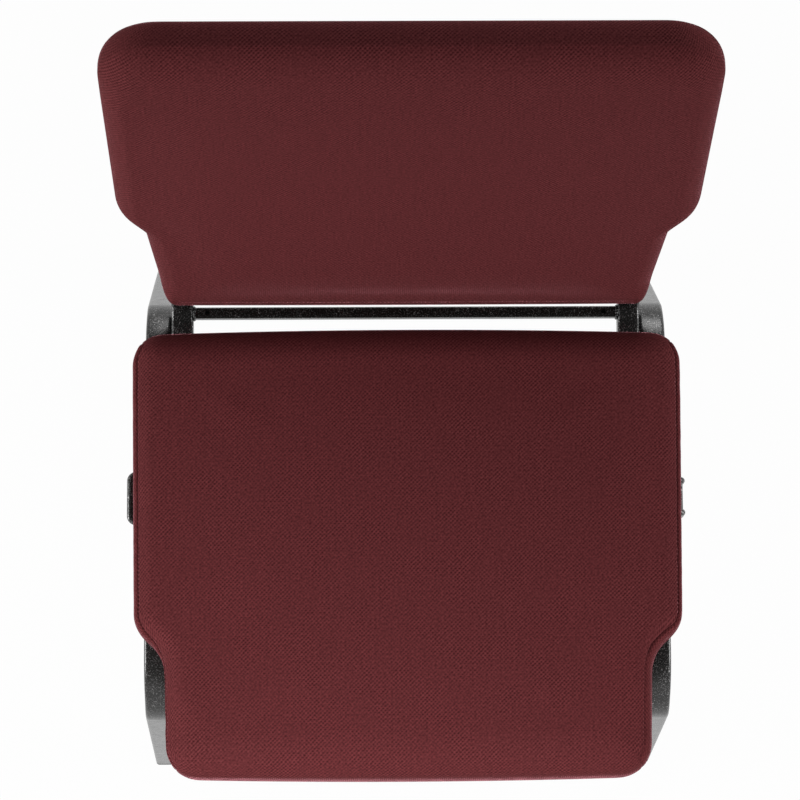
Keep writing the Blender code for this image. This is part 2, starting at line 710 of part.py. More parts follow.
def rear_rounds(plan):
    """Round of the rear edge at each point: small below the shoulders, growing up the wings."""
    run = BACK_HEIGHT - BACK_TOP_CORNER - BACK_SHOULDER_TOP
    share = np.clip((plan[:, 1] - BACK_SHOULDER_TOP) / run, 0.0, 1.0)
    return BACK_REAR_ROUND + (BACK_ROLL - BACK_REAR_ROUND) * share


def open_bottom(shape, rim, ring):
    """Takes out the underside of the cover, where the uprights go in."""
    reach = UPRIGHT_OUTER + 2 * COVER_THICKNESS
    wall = set(rim + ring)
    faces = []
    for face in shape.faces:
        nearest = min(abs(vert.co.x) for vert in face.verts)
        highest = max(vert.co.y for vert in face.verts)
        if wall.issuperset(face.verts) and nearest < reach and highest < BACK_BOTTOM_CORNER:
            faces.append(face)
    bmesh.ops.delete(shape, geom=faces, context='FACES')


def make_back_cover():
    shape, rim, plan = back_sheet(0.0)
    rounds = rear_rounds(plan)
    ring = extend_rim(shape, rim, plan, 0.0, rounds)
    last = ring
    for step in range(1, ROLL_STEPS + 1):
        angle = math.pi / 2 * step / ROLL_STEPS
        last = extend_rim(
            shape, last, plan, rounds * (1.0 - math.cos(angle)), rounds * (1.0 - math.sin(angle)))
    close_rim(shape, last)
    bmesh.ops.recalc_face_normals(shape, faces=shape.faces)
    open_bottom(shape, rim, ring)
    cover = add_part("back_cover", finish_mesh(shape, "back_cover"), FABRIC, parent=BACK)
    cloth = cover.modifiers.new("cloth_thickness", 'SOLIDIFY')
    cloth.thickness = COVER_THICKNESS
    cloth.offset = -1.0


def make_back_foam():
    inset = COVER_THICKNESS + FOAM_CLEARANCE
    shape, rim, plan = back_sheet(inset, BACK_FOAM_TRIM)
    rim = extend_rim(shape, rim, plan, 0.0, BACK_FOAM_LEVEL)
    close_rim(shape, rim)
    add_part("back_foam", finish_mesh(shape, "back_foam"), FOAM, parent=BACK)


def back_screw_spots():
    for side_name, side in SIDES.items():
        for place_name, height in BACK_SCREW_PLACES.items():
            yield side_name + "_" + place_name, side * UPRIGHT_X, height


def make_back_boards():
    outline = inset_outline(back_outline(), BACK_BOARD_INSET)
    shape = plate_shape("back_board", outline, BACK_BOARD_THICKNESS)
    board = add_part(
        "back_board", finish_mesh(shape, "back_board"), PLYWOOD, parent=BACK,
        place=(0.0, 0.0, BACK_BOARD_LEVEL))
    barrels = []
    flanges = []
    board_top = BACK_BOARD_LEVEL + BACK_BOARD_THICKNESS
    for name, x, height in back_screw_spots():
        barrel, flange = nut_pocket(x, height, BACK_BOARD_LEVEL, board_top)
        barrels.append(barrel)
        flanges.append(flange)
    cut(board, add_cutter("back_board_barrel_holes", barrels, parent=BACK))
    cut(board, add_cutter("back_board_flange_pockets", flanges, parent=BACK))
    edge = back_outline()
    panel_outline = inset_outline(edge, rear_rounds(edge) + BACK_PANEL_MARGIN)
    panel = plate_shape("back_rear_panel", panel_outline, BACK_PANEL_THICKNESS)
    add_part(
        "back_rear_panel", finish_mesh(panel, "back_rear_panel"), PLYWOOD, parent=BACK,
        place=(0.0, 0.0, BACK_PANEL_LEVEL))


def make_back_fillers():
    """Foam between the two boards: one block between the uprights, one in each wing."""
    inner = UPRIGHT_INNER - TOUCH_GAP
    low = BACK_BOARD_INSET
    high = BACK_HEIGHT - BACK_FILLER_INSET
    block = ((inner, low), (inner, high), (-inner, high), (-inner, low))
    core = plate_shape("back_core", block, UPRIGHT_TUBE)
    add_part(
        "back_core", finish_mesh(core, "back_core"), FOAM, parent=BACK, place=(0.0, 0.0, TUBE_BACK_LEVEL))
    near = UPRIGHT_OUTER + TOUCH_GAP
    far = BACK_WIDTH / 2 - BACK_FILLER_INSET
    wing_low = BACK_SHOULDER_TOP + BACK_FILLER_INSET
    wing_high = BACK_HEIGHT - BACK_TOP_CORNER
    for side_name, side in SIDES.items():
        inner_x = side * near
        outer_x = side * far
        strip = ((inner_x, wing_low), (outer_x, wing_low), (outer_x, wing_high), (inner_x, wing_high))
        name = side_name + "_wing_filler"
        filler = plate_shape(name, strip, UPRIGHT_TUBE)
        add_part(name, finish_mesh(filler, name), FOAM, parent=BACK, place=(0.0, 0.0, TUBE_BACK_LEVEL))


def make_back_screws():
    """Each screw's head sits inside the upright, on the tube's front wall."""
    head_top = BACK_BOARD_LEVEL - TOUCH_GAP - TUBE_WALL - TOUCH_GAP
    profile = (
        (0.0, SCREW_LENGTH), (BOLT_RADIUS, SCREW_LENGTH), (BOLT_RADIUS, 0.0),
        (SCREW_HEAD_RADIUS, 0.0), (SCREW_HEAD_RADIUS, -SCREW_HEAD), (0.0, -SCREW_HEAD))
    nut_bottom = BACK_BOARD_LEVEL + BACK_BOARD_THICKNESS - TOUCH_GAP - NUT_FLANGE - BACK_NUT_BARREL
    for name, x, height in back_screw_spots():
        mesh = turned_mesh("back_screw", profile)
        screw = add_part("back_screw_" + name, mesh, ZINC, parent=BACK, place=(x, height, head_top))
        turn_round(screw)
        ring = turned_mesh("back_tee_nut", nut_profile(BACK_NUT_BARREL), closed=True)
        nut = add_part("back_tee_nut_" + name, ring, ZINC, parent=BACK, place=(x, height, nut_bottom))
        turn_round(nut)


# Frame

def splay_out(shape, side):
    """Leans the legs outwards below the side rail."""
    between_legs = (FRONT_FOOT_Y + REAR_FOOT_Y) / 2
    for vert in shape.verts:
        splay = FRONT_LEG_SPLAY if vert.co.y < between_legs else REAR_LEG_SPLAY
        vert.co.x += side * math.tan(splay) * max(0.0, SPLAY_START - vert.co.z)


def leg_path():
    front_up = Vector((math.sin(FRONT_LEG_LEAN), math.cos(FRONT_LEG_LEAN)))
    rear_up = Vector((-math.sin(REAR_LEG_LEAN), math.cos(REAR_LEG_LEAN)))
    front_floor = Vector((FRONT_FOOT_Y, 0.0))
    rear_floor = Vector((REAR_FOOT_Y, 0.0))
    corners = [
        front_floor + front_up * GLIDE_SOLE, front_floor + front_up * (RAIL_MIDDLE / front_up.y),
        rear_floor + rear_up * (RAIL_MIDDLE / rear_up.y), rear_floor + rear_up * GLIDE_SOLE]
    return rounded_path(corners, LEG_BEND, BEND_STEPS)


def make_leg_frames():
    radius = BUMPER_STEM_RADIUS + SCREW_CLEARANCE
    for side_name, side in SIDES.items():
        name = side_name + "_leg_frame"
        shape = tube_shape(name, leg_path(), LEG_TUBE, LEG_TUBE_CORNER)
        splay_out(shape, side)
        frame = add_part(name, finish_mesh(shape, name), FRAME_STEEL, place=(side * RAIL_X, 0.0, 0.0))
        make_hollow(frame)
        rods = [
            (side * RAIL_X, y, radius, SPLAY_START - WALL_CUT_REACH, SPLAY_START + WALL_CUT_REACH)
            for y in BUMPER_PLACES.values()]
        cut(frame, add_cutter(side_name + "_bumper_holes", rods))


def upright_path():
    def on_back(height):
        place = BACK_PLACE + BACK_UP * height + BACK_FORWARD * TUBE_LEVEL
        return Vector((place.y, place.z))

    bottom = on_back(0.0)
    top = on_back(UPRIGHT_TOP_END)
    along = (bottom.y - RUN_MIDDLE) * math.tan(BACK_LEAN)
    corners = [
        Vector((UPRIGHT_FRONT_END, RUN_MIDDLE)), Vector((bottom.x - along, RUN_MIDDLE)), top]
    return rounded_path(corners, UPRIGHT_BEND, BEND_STEPS)


def make_uprights():
    radius = BOLT_RADIUS + SCREW_CLEARANCE
    tube_front = TUBE_LEVEL + UPRIGHT_TUBE / 2
    tube_back = TUBE_LEVEL - UPRIGHT_TUBE / 2
    for side_name, side in SIDES.items():
        name = side_name + "_back_upright"
        shape = tube_shape(name, upright_path(), UPRIGHT_TUBE, UPRIGHT_TUBE_CORNER)
        upright = add_part(name, finish_mesh(shape, name), FRAME_STEEL, place=(side * UPRIGHT_X, 0.0, 0.0))
        make_hollow(upright)
        bolt_rods = [
            (side * UPRIGHT_X, y, radius, RUN_MIDDLE - UPRIGHT_TUBE, RUN_MIDDLE + UPRIGHT_TUBE)
            for y in SEAT_BOLT_PLACES.values()]
        cut(upright, add_cutter(side_name + "_seat_bolt_holes", bolt_rods))
        screw_rods = [
            (side * UPRIGHT_X, height, radius, tube_front - WALL_CUT_REACH, tube_front + WALL_CUT_REACH)
            for height in BACK_SCREW_PLACES.values()]
        cut(upright, add_cutter(side_name + "_back_screw_holes", screw_rods, parent=BACK))
        access_rods = [
            (side * UPRIGHT_X, height, ACCESS_HOLE_RADIUS, tube_back - WALL_CUT_REACH,
             tube_back + WALL_CUT_REACH)
            for height in BACK_SCREW_PLACES.values()]
        cut(upright, add_cutter(side_name + "_access_holes", access_rods, parent=BACK))


def bar_shape(name, half_length, size, corner):
    """Square tube across the chair, drawn along Y and then turned to lie along X."""
    path = [Vector((-half_length, 0.0)), Vector((half_length, 0.0))]
    shape = tube_shape(name, path, size, corner)
    bmesh.ops.rotate(shape, verts=shape.verts, matrix=Matrix.Rotation(math.pi / 2, 3, 'Z'))
    return shape


def make_crossbars():
    front = bar_shape("front_crossbar", RAIL_INNER - TOUCH_GAP, UPRIGHT_TUBE, UPRIGHT_TUBE_CORNER)
    front_bar = add_part(
        "front_crossbar", finish_mesh(front, "front_crossbar"), FRAME_STEEL,
        place=(0.0, FRONT_BAR_Y, RUN_MIDDLE))
    make_hollow(front_bar)
    half_length = UPRIGHT_INNER - TOUCH_GAP
    rear = bar_shape("rear_crossbar", half_length, REAR_BAR_TUBE, REAR_BAR_CORNER)
    rear_bar = add_part(
        "rear_crossbar", finish_mesh(rear, "rear_crossbar"), FRAME_STEEL,
        place=(0.0, REAR_BAR_Y, REAR_BAR_MIDDLE))
    make_hollow(rear_bar)
    hole_x = half_length - REAR_BAR_HOLE_FROM_END
    low = RAIL_TOP - WALL_CUT_REACH
    high = RAIL_TOP + WALL_CUT_REACH
    rods = [(side * hole_x, REAR_BAR_Y, REAR_BAR_HOLE_RADIUS, low, high) for side in SIDES.values()]
    cut(rear_bar, add_cutter("rear_crossbar_holes", rods))


def plug_shape(size, corner, bottom, head_top, plug):
    """Head of the tube's own section with a smaller plug on it that fits into the tube."""
    shape = bmesh.new()
    outline = [shape.verts.new((*point, bottom)) for point in square_section(size, corner)]
    base = shape.faces.new(outline)
    made = bmesh.ops.extrude_face_region(shape, geom=[base])["geom"]
    head = [item for item in made if isinstance(item, bmesh.types.BMFace)]
    rising = [item for item in made if isinstance(item, bmesh.types.BMVert)]
    bmesh.ops.translate(shape, verts=rising, vec=(0.0, 0.0, head_top - bottom))
    bmesh.ops.inset_region(shape, faces=head, thickness=TUBE_WALL + TOUCH_GAP)
    made = bmesh.ops.extrude_face_region(shape, geom=head)["geom"]
    rising = [item for item in made if isinstance(item, bmesh.types.BMVert)]
    bmesh.ops.delete(shape, geom=head, context='FACES_ONLY')
    bmesh.ops.translate(shape, verts=rising, vec=(0.0, 0.0, plug))
    return shape


def make_glides():
    feet = {
        "front": (FRONT_FOOT_Y, -FRONT_LEG_LEAN, FRONT_LEG_SPLAY),
        "rear": (REAR_FOOT_Y, REAR_LEG_LEAN, REAR_LEG_SPLAY)}
    for side_name, side in SIDES.items():
        for foot_name, (y, lean, splay) in feet.items():
            foot_x = RAIL_X + math.tan(splay) * SPLAY_START
            name = side_name + "_" + foot_name + "_glide"
            shape = plug_shape(LEG_TUBE, LEG_TUBE_CORNER, -LEG_TUBE, GLIDE_SOLE - TOUCH_GAP, GLIDE_PLUG)
            bmesh.ops.rotate(shape, verts=shape.verts, matrix=Matrix.Rotation(lean, 3, 'X'))
            axis = Matrix.Rotation(lean, 3, 'X') @ Vector((0.0, 0.0, 1.0))
            for vert in shape.verts:
                if vert.co.z < -LEG_TUBE / 4:
                    vert.co -= axis * (vert.co.z / axis.z)
                vert.co.x -= side * math.tan(splay) * vert.co.z
            add_part(name, finish_mesh(shape, name), BLACK_PLASTIC, place=(side * foot_x, y, 0.0))


def make_upright_caps():
    for side_name, side in SIDES.items():
        name = side_name + "_upright_cap"
        shape = plug_shape(UPRIGHT_TUBE, UPRIGHT_TUBE_CORNER, -CAP_HEAD, 0.0, CAP_PLUG)
        bmesh.ops.rotate(shape, verts=shape.verts, matrix=Matrix.Rotation(math.pi / 2, 3, 'X'))
        add_part(
            name, finish_mesh(shape, name), BLACK_PLASTIC, parent=BACK,
            place=(side * UPRIGHT_X, UPRIGHT_TOP_END + TOUCH_GAP, TUBE_LEVEL))


def make_bumpers():
    profile = (
        (0.0, BUMPER_STEM), (BUMPER_STEM_RADIUS, BUMPER_STEM), (BUMPER_STEM_RADIUS, 0.0),
        (BUMPER_HEAD_RADIUS, 0.0), (BUMPER_HEAD_RADIUS, BUMPER_TAPER - BUMPER_HEAD),
        (BUMPER_TIP_RADIUS, -BUMPER_HEAD), (0.0, -BUMPER_HEAD))
    for side_name, side in SIDES.items():
        for place_name, y in BUMPER_PLACES.items():
            name = side_name + "_" + place_name + "_bumper"
            bumper = add_part(
                name, turned_mesh(name, profile), BLACK_PLASTIC,
                place=(side * RAIL_X, y, SPLAY_START - TOUCH_GAP))
            turn_round(bumper)


def make_rod(name, corners):
    path = rounded_path(corners, GANG_BEND, ROD_BEND_STEPS)
    curve = poly_curve(name, path, '3D')
    curve.bevel_depth = GANG_ROD_RADIUS
    curve.bevel_resolution = 2
    curve.use_fill_caps = True
    add_part(name, curve, FRAME_STEEL)


def make_ganging_rods():
    """A flat loop on the left rail, and on the right rail a hook that turns down."""
    start = RAIL_OUTER + TOUCH_GAP
    height = RAIL_TOP - GANG_BELOW_RAIL_TOP
    reach = GANG_REACH - GANG_ROD_RADIUS
    half = GANG_LOOP_LENGTH / 2
    make_rod("ganging_loop", [
        Vector((-start, GANG_MIDDLE + half, height)),
        Vector((-reach, GANG_MIDDLE + half, height)),
        Vector((-reach, GANG_MIDDLE - half, height)),
        Vector((-start, GANG_MIDDLE - half, height))])
    half = GANG_HOOK_LENGTH / 2
    make_rod("ganging_hook", [
        Vector((start, GANG_MIDDLE + half, height)),
        Vector((reach, GANG_MIDDLE + half, height)),
        Vector((reach, GANG_MIDDLE + half, height - GANG_HOOK_DROP)),
        Vector((reach, GANG_MIDDLE - half, height - GANG_HOOK_DROP)),
        Vector((reach, GANG_MIDDLE - half, height)),
        Vector((start, GANG_MIDDLE - half, height))])


make_leg_frames()
make_uprights()
make_crossbars()
make_glides()
make_upright_caps()
make_bumpers()
make_ganging_rods()
make_seat_board()
make_dust_cover()
make_seat_foam()
make_seat_cover()
make_seat_bolts()
make_back_boards()
make_back_fillers()
make_back_foam()
make_back_cover()
make_back_screws()
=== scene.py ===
"""Looks of the church chair: upholstered pads, coated frame, hardware, stage and camera.

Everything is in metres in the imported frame: +Z up, the chair faces -Y. The two pads are closed
meshes whose cloth is blown up by a short simulation and then sewn. The tubes, rods, glides,
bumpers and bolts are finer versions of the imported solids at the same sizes.
"""
import json
import math

import bpy
import numpy as np
from mathutils import Matrix, Vector


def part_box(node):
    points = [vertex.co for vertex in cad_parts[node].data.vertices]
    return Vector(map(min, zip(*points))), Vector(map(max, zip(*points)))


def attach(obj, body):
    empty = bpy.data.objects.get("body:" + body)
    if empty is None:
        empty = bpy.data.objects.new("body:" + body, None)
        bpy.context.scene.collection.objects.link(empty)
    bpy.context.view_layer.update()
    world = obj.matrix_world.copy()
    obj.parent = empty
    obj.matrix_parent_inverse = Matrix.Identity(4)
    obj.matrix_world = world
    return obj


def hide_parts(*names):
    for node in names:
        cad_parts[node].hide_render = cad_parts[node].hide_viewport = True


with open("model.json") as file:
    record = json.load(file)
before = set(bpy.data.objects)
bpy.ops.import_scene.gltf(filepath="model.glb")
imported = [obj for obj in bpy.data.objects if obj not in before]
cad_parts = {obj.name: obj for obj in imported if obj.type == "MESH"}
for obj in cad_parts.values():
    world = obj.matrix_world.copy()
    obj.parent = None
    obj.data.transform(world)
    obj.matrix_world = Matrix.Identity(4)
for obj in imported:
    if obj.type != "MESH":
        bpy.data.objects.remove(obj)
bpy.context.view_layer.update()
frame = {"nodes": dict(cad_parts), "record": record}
BODY = "root"
SIDES = {"left": -1, "right": 1}

# Places taken from the frame
SEAT_LOW, SEAT_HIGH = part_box("seat_cover")
SEAT_Y = (SEAT_LOW.y + SEAT_HIGH.y) / 2
RAIL_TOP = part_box("left_leg_frame")[1].z
HEM_LEVEL = SEAT_LOW.z

# Seat pad
SEAT_WIDTH = 0.4735
SEAT_SHOULDER_WIDTH = 0.468
SEAT_FRONT_WIDTH = 0.4148
SEAT_FRONT_TAPER = 0.0015
SEAT_DEPTH = 0.388
SEAT_FRONT_CORNER = 0.027
SEAT_REAR_CORNER = 0.026
SEAT_SHOULDER_REAR = -0.0643
SEAT_SHOULDER_FRONT = -0.0878
SEAT_SHOULDER_ROUND = 0.027
SEAT_NOTCH_ROUND = 0.038
SEAT_BOW = 0.004
SEAT_THICKNESS = 0.076
SEAT_CROWN = 0.012
SEAT_WAIST_ABOVE_RAIL = 0.040
SEAT_EDGE_ROUND = 0.020
SEAT_FRONT_ROUND = 0.038
SEAT_REAR_ROUND = 0.032
SEAT_SEAM_INSET = 0.0045
SEAT_LEFT_FRONT_SEAM_INSET = 0.0012
SEAT_RIGHT_FRONT_SEAM_INSET = 0.0080
SEAT_HEM = 0.016

# Back pad, drawn lying flat with its front up
BACK_BOTTOM_WIDTH = 0.4195
BACK_WAIST_WIDTH = 0.4411
BACK_WIDTH = 0.4821
BACK_HEIGHT = 0.442
BACK_TOP_CORNER = 0.047
BACK_BOTTOM_CORNER = 0.014
BACK_SHOULDER_TOP = 0.1715
BACK_SHOULDER_BOTTOM = 0.137
BACK_SHOULDER_ROUND = 0.050
BACK_NOTCH_ROUND = 0.032
BACK_DEPTH = 0.05205
BACK_CROWN = 0.005
BACK_EDGE_ROUND = 0.020
BACK_TOP_ROUND = 0.036
BACK_BOTTOM_ROUND = 0.010
BACK_RIM_DEPTH = 0.026
BACK_ROLL = 0.022
BACK_REAR_ROUND = 0.004
BACK_SEAM_INSET = 0.012
BACK_LEAN = math.radians(13.4)
BACK_BEHIND_SEAT = 0.0155
BACK_ABOVE_RAIL = 0.029

# Cloth
ACROSS_CELLS = 72
SEAT_ALONG_CELLS = 84
BACK_ALONG_CELLS = 66
SEAM_STEPS = (0.0012, 0.0032)
SEAM_DEPTH = 0.0024
FRONT_SEAM_DEPTH = 0.0012
# Share of the painted seam shadow at the front of the seat and down its corners
FRONT_SEAM_SHADE = 0.35
CORNER_SEAM_DEPTH = 0.0007
REAR_SEAM_DEPTH = 0.0003
REAR_SEAM_LIP = 0.0014
SEAM_LIP = 0.0005
PUCKER_HEIGHT = 0.0004
PUCKER_LENGTH = 0.021
PUCKER_REACH = 0.012
CROWN_POWER = 0.75
SEAT_PRESSURE = 1.6
BACK_PRESSURE = 0.5
SIM_FRAMES = 20
SEAT_SWELL = 0.002
BACK_SWELL = 0.004
WALL_SHARE = 0.05
SWELL_REACH = 0.09
FULL_SWELL = 92
ROUND_FADE = 2.0
CLOTH_SETTINGS = {
    "quality": 4, "mass": 0.3, "tension_stiffness": 12.0, "compression_stiffness": 12.0,
    "shear_stiffness": 4.0, "bending_stiffness": 0.8, "use_pressure": True}

# Rings of points round the pads. Seat top: inset from the seam. Seat wall: share of the fall from seam
# to hem, share of the seam's inset. Hem: inset, height above the hem. Back: inset, share of the wall.
SEAT_TOP_STEPS = (0.0085, 0.0055, 0.0030, SEAM_STEPS[0], 0.0)
SEAT_WALL_STEPS = ((0.03, 0.75), (0.10, 0.40), (0.25, 0.1), (0.45, 0.0), (0.65, 0.0), (0.85, 0.0))
SEAT_HEM_STEPS = ((0.0015, 0.006), (0.0030, 0.0018), (0.0060, 0.0), (SEAT_HEM, 0.0))
BACK_FRONT_STEPS = (0.0160, 0.0110, 0.0070, 0.0035, 0.0012)
BACK_WALL_SHARES = (0.15, 0.5, 0.85)
REAR_ROUND_STEPS = 6

# Weave and coat
WEAVE_CELL = 0.00175
YARN_SWAY = 0.0009
YARN_DARK = (0.043, 0.0076, 0.0086)
YARN_LIGHT = (0.150, 0.0330, 0.0360)
SEAM_SHADOW = (0.020, 0.0035, 0.0040)
VEIN_WARP = 0.0011

# Frame
LEG_TUBE = 0.0222
LEG_TUBE_CORNER = 0.0032
LEG_BEND = 0.044
UPRIGHT_TUBE = 0.01905
UPRIGHT_TUBE_CORNER = 0.0028
UPRIGHT_BEND = 0.040
FRONT_LEG_SPLAY = math.radians(1.7)
REAR_LEG_SPLAY = math.radians(1.2)
FRONT_LEG_LEAN = math.radians(2.65)
REAR_LEG_LEAN = math.radians(19)
RAIL_SET_IN = 0.0093
FRONT_FOOT_BEHIND_SEAT_FRONT = 0.0432
REAR_FOOT_BEHIND_SEAT_REAR = 0.1623
UPRIGHT_FRONT_END = -0.052
UPRIGHT_TOP_END = 0.345
TUBE_LEVEL = 0.014125
REAR_BAR_CORNER = 0.0018
GLIDE_SOLE = 0.008
TOUCH_GAP = 0.0003
GANG_ROD_RADIUS = 0.003
GANG_STAND_OUT = 0.016
GANG_MIDDLE = 0.055
GANG_LOOP_LENGTH = 0.041
GANG_HOOK_LENGTH = 0.028
GANG_HOOK_DROP = 0.026
GANG_BEND = 0.005
GANG_BELOW_RAIL_TOP = 0.0111
BAR_HOLE_RADIUS = 0.0022
BAR_HOLE_FROM_END = 0.012
BAR_HOLE_DEPTH = 0.007
GLIDE_BEVEL = 0.0012
BUMPER_HEAD_RADIUS = 0.008
BUMPER_HEAD = 0.006
BUMPER_TIP_RADIUS = 0.0064
BUMPER_EDGE = 0.0005
BUMPER_PLACES = {"front": -0.045, "rear": 0.165}
BOLT_RADIUS = 0.003
BOLT_HEAD_RADIUS = 0.0065
BOLT_HEAD = 0.005
HEXAGON_SHARE = 0.92
HEXAGON_CHAMFER = 0.80
WASHER_THICKNESS = 0.0010
WELD_RADIUS = 0.0022
WELD_RIPPLE = 0.0026
WELD_RIPPLE_SHARE = 0.13
WELD_END_SHARE = 0.4
WELD_STEP = 0.0006
WELD_RUNS = ((-0.045, -0.015), (0.050, 0.080), (0.115, 0.145))
DUST_COVER_INSET = 0.012
DUST_COVER_SAG = 0.0025
STAPLE_SPACING = 0.034
STAPLE_CROWN = 0.0095
STAPLE_WIRE = 0.0009
STAPLE_INSET = 0.017
STAPLE_AHEAD = 0.004
STAPLE_TILT = 0.12
BEND_STEPS = 18
CORNER_STEPS = 6
ROUND_STEPS = 16
OUTLINE_STEPS = 32
SHARP_ANGLE = math.radians(40)

# Places that follow from these sizes
SEAT_REAR = SEAT_DEPTH / 2
SEAT_FRONT = -SEAT_DEPTH / 2
SEAT_TOP = RAIL_TOP + SEAT_THICKNESS
SEAT_WAIST = RAIL_TOP + SEAT_WAIST_ABOVE_RAIL
RAIL_MIDDLE = RAIL_TOP - LEG_TUBE / 2
RAIL_OUTER = SEAT_WIDTH / 2 - RAIL_SET_IN
RAIL_X = RAIL_OUTER - LEG_TUBE / 2
RAIL_INNER = RAIL_OUTER - LEG_TUBE
UPRIGHT_X = RAIL_INNER - TOUCH_GAP - UPRIGHT_TUBE / 2
UPRIGHT_INNER = UPRIGHT_X - UPRIGHT_TUBE / 2
RUN_MIDDLE = RAIL_TOP - UPRIGHT_TUBE / 2
SPLAY_START = RAIL_TOP - LEG_TUBE
BACK_RIM = BACK_DEPTH - BACK_RIM_DEPTH
BACK_UP = Vector((0.0, math.sin(BACK_LEAN), math.cos(BACK_LEAN)))
BACK_FORWARD = Vector((0.0, -math.cos(BACK_LEAN), math.sin(BACK_LEAN)))
BACK_FRONT_BOTTOM = Vector((0.0, SEAT_REAR + BACK_BEHIND_SEAT, RAIL_TOP + BACK_ABOVE_RAIL))
BACK_PLACE = BACK_FRONT_BOTTOM - BACK_FORWARD * BACK_DEPTH
FRONT_FOOT_Y = SEAT_FRONT + FRONT_FOOT_BEHIND_SEAT_FRONT + LEG_TUBE / 2 / math.cos(FRONT_LEG_LEAN)
REAR_FOOT_Y = SEAT_REAR + REAR_FOOT_BEHIND_SEAT_REAR - LEG_TUBE / 2 / math.cos(REAR_LEG_LEAN)
FEET = {"front": (FRONT_FOOT_Y, FRONT_LEG_LEAN), "rear": (REAR_FOOT_Y, -REAR_LEG_LEAN)}
CROSSBAR_CORNERS = {"front_crossbar": UPRIGHT_TUBE_CORNER, "rear_crossbar": REAR_BAR_CORNER}
TO_WORLD = Matrix.Translation((0.0, SEAT_Y, 0.0))
BACK_TURN = Matrix.Rotation(math.pi / 2 - BACK_LEAN, 4, 'X')
BACK_TO_WORLD = TO_WORLD @ Matrix.Translation(BACK_PLACE) @ BACK_TURN

# Stage, light and camera
CAMERA_PLACE = (-0.0444, -0.4591, 3.4168)
CAMERA_DOWN = math.radians(80.2686)
CAMERA_YAW = math.radians(4.3276)
CAMERA_ROLL = math.radians(4.0172)
CAMERA_FOCAL_PIXELS = 3511.6
IMAGE_PIXELS = 800
SENSOR = 36.0
FLOOR_REACH = 6.0
FLOOR_WHITE = 0.97
FLOOR_MIRRORED = 0.95
AMBIENT = 0.09
CEILING = 0.12
CEILING_START = 0.45
CEILING_END = 0.85
# Name, place, aim, size, watts, and whether it shows in reflections
LAMPS = (
    ("front_key", (-0.1, -1.0, 1.0), (0.0, -0.80, 0.35), (1.7, 1.0), 17.1, False),
    ("left_side", (-2.8, -0.25, 1.27), (0.0, 0.0, 0.45), (1.0, 1.2), 58.0, True),
    ("right_side", (2.8, -0.25, 1.27), (0.0, 0.0, 0.45), (1.0, 1.2), 49.0, True),
    ("rear_fill", (0.3, 2.3, 1.3), (0.0, 0.3, 0.6), (1.2, 1.2), 20.0, True))


# Shader nodes

class Shader:
    """Node tree of a material or a world, with short ways to add nodes to it."""

    def __init__(self, owner, surface="Principled BSDF"):
        owner.use_nodes = True
        self.tree = owner.node_tree
        self.surface = self.tree.nodes[surface]

    def put(self, socket, value):
        if isinstance(value, bpy.types.NodeSocket):
            self.tree.links.new(value, socket)
        else:
            socket.default_value = (*value, 1.0) if socket.type == 'RGBA' else value

    def add(self, kind, inputs=None, **settings):
        node = self.tree.nodes.new("ShaderNode" + kind)
        for name, value in settings.items():
            setattr(node, name, value)
        for name, value in (inputs or {}).items():
            self.put(node.inputs[name], value)
        return node

    def math(self, operation, *values):
        return self.add("Math", dict(enumerate(values)), operation=operation).outputs[0]

    def vector(self, operation, *values):
        return self.add("VectorMath", dict(enumerate(values)), operation=operation).outputs[0]

    def noise(self, vector, scale, detail=2.0, roughness=0.5, output=0):
        """Noise at one scale, or at a scale of its own along each axis."""
        if isinstance(scale, tuple):
            vector, scale = self.vector('MULTIPLY', vector, scale), 1.0
        inputs = {"Vector": vector, "Scale": scale, "Detail": detail, "Roughness": roughness}
        return self.add("TexNoise", inputs).outputs[output]

    def ramp(self, value, low, high, to_low=0.0, to_high=1.0):
        inputs = {"Value": value, "From Min": low, "From Max": high, "To Min": to_low, "To Max": to_high}
        return self.add("MapRange", inputs, clamp=True).outputs[0]

    def mix(self, share, first, second, blend='MIX'):
        inputs = {"Factor": share, 6: first, 7: second}
        return self.add("Mix", inputs, data_type='RGBA', blend_type=blend).outputs[2]

    def place(self):
        return self.add("TexCoord").outputs["Object"]

    def set(self, bump=None, **values):
        """Sets inputs of the surface. A bump is given by its height, strength and distance."""
        if bump:
            inputs = dict(zip(("Height", "Strength", "Distance"), bump))
            values["Normal"] = self.add("Bump", inputs).outputs[0]
        for name, value in values.items():
            self.put(self.surface.inputs[name.replace("_", " ")], value)


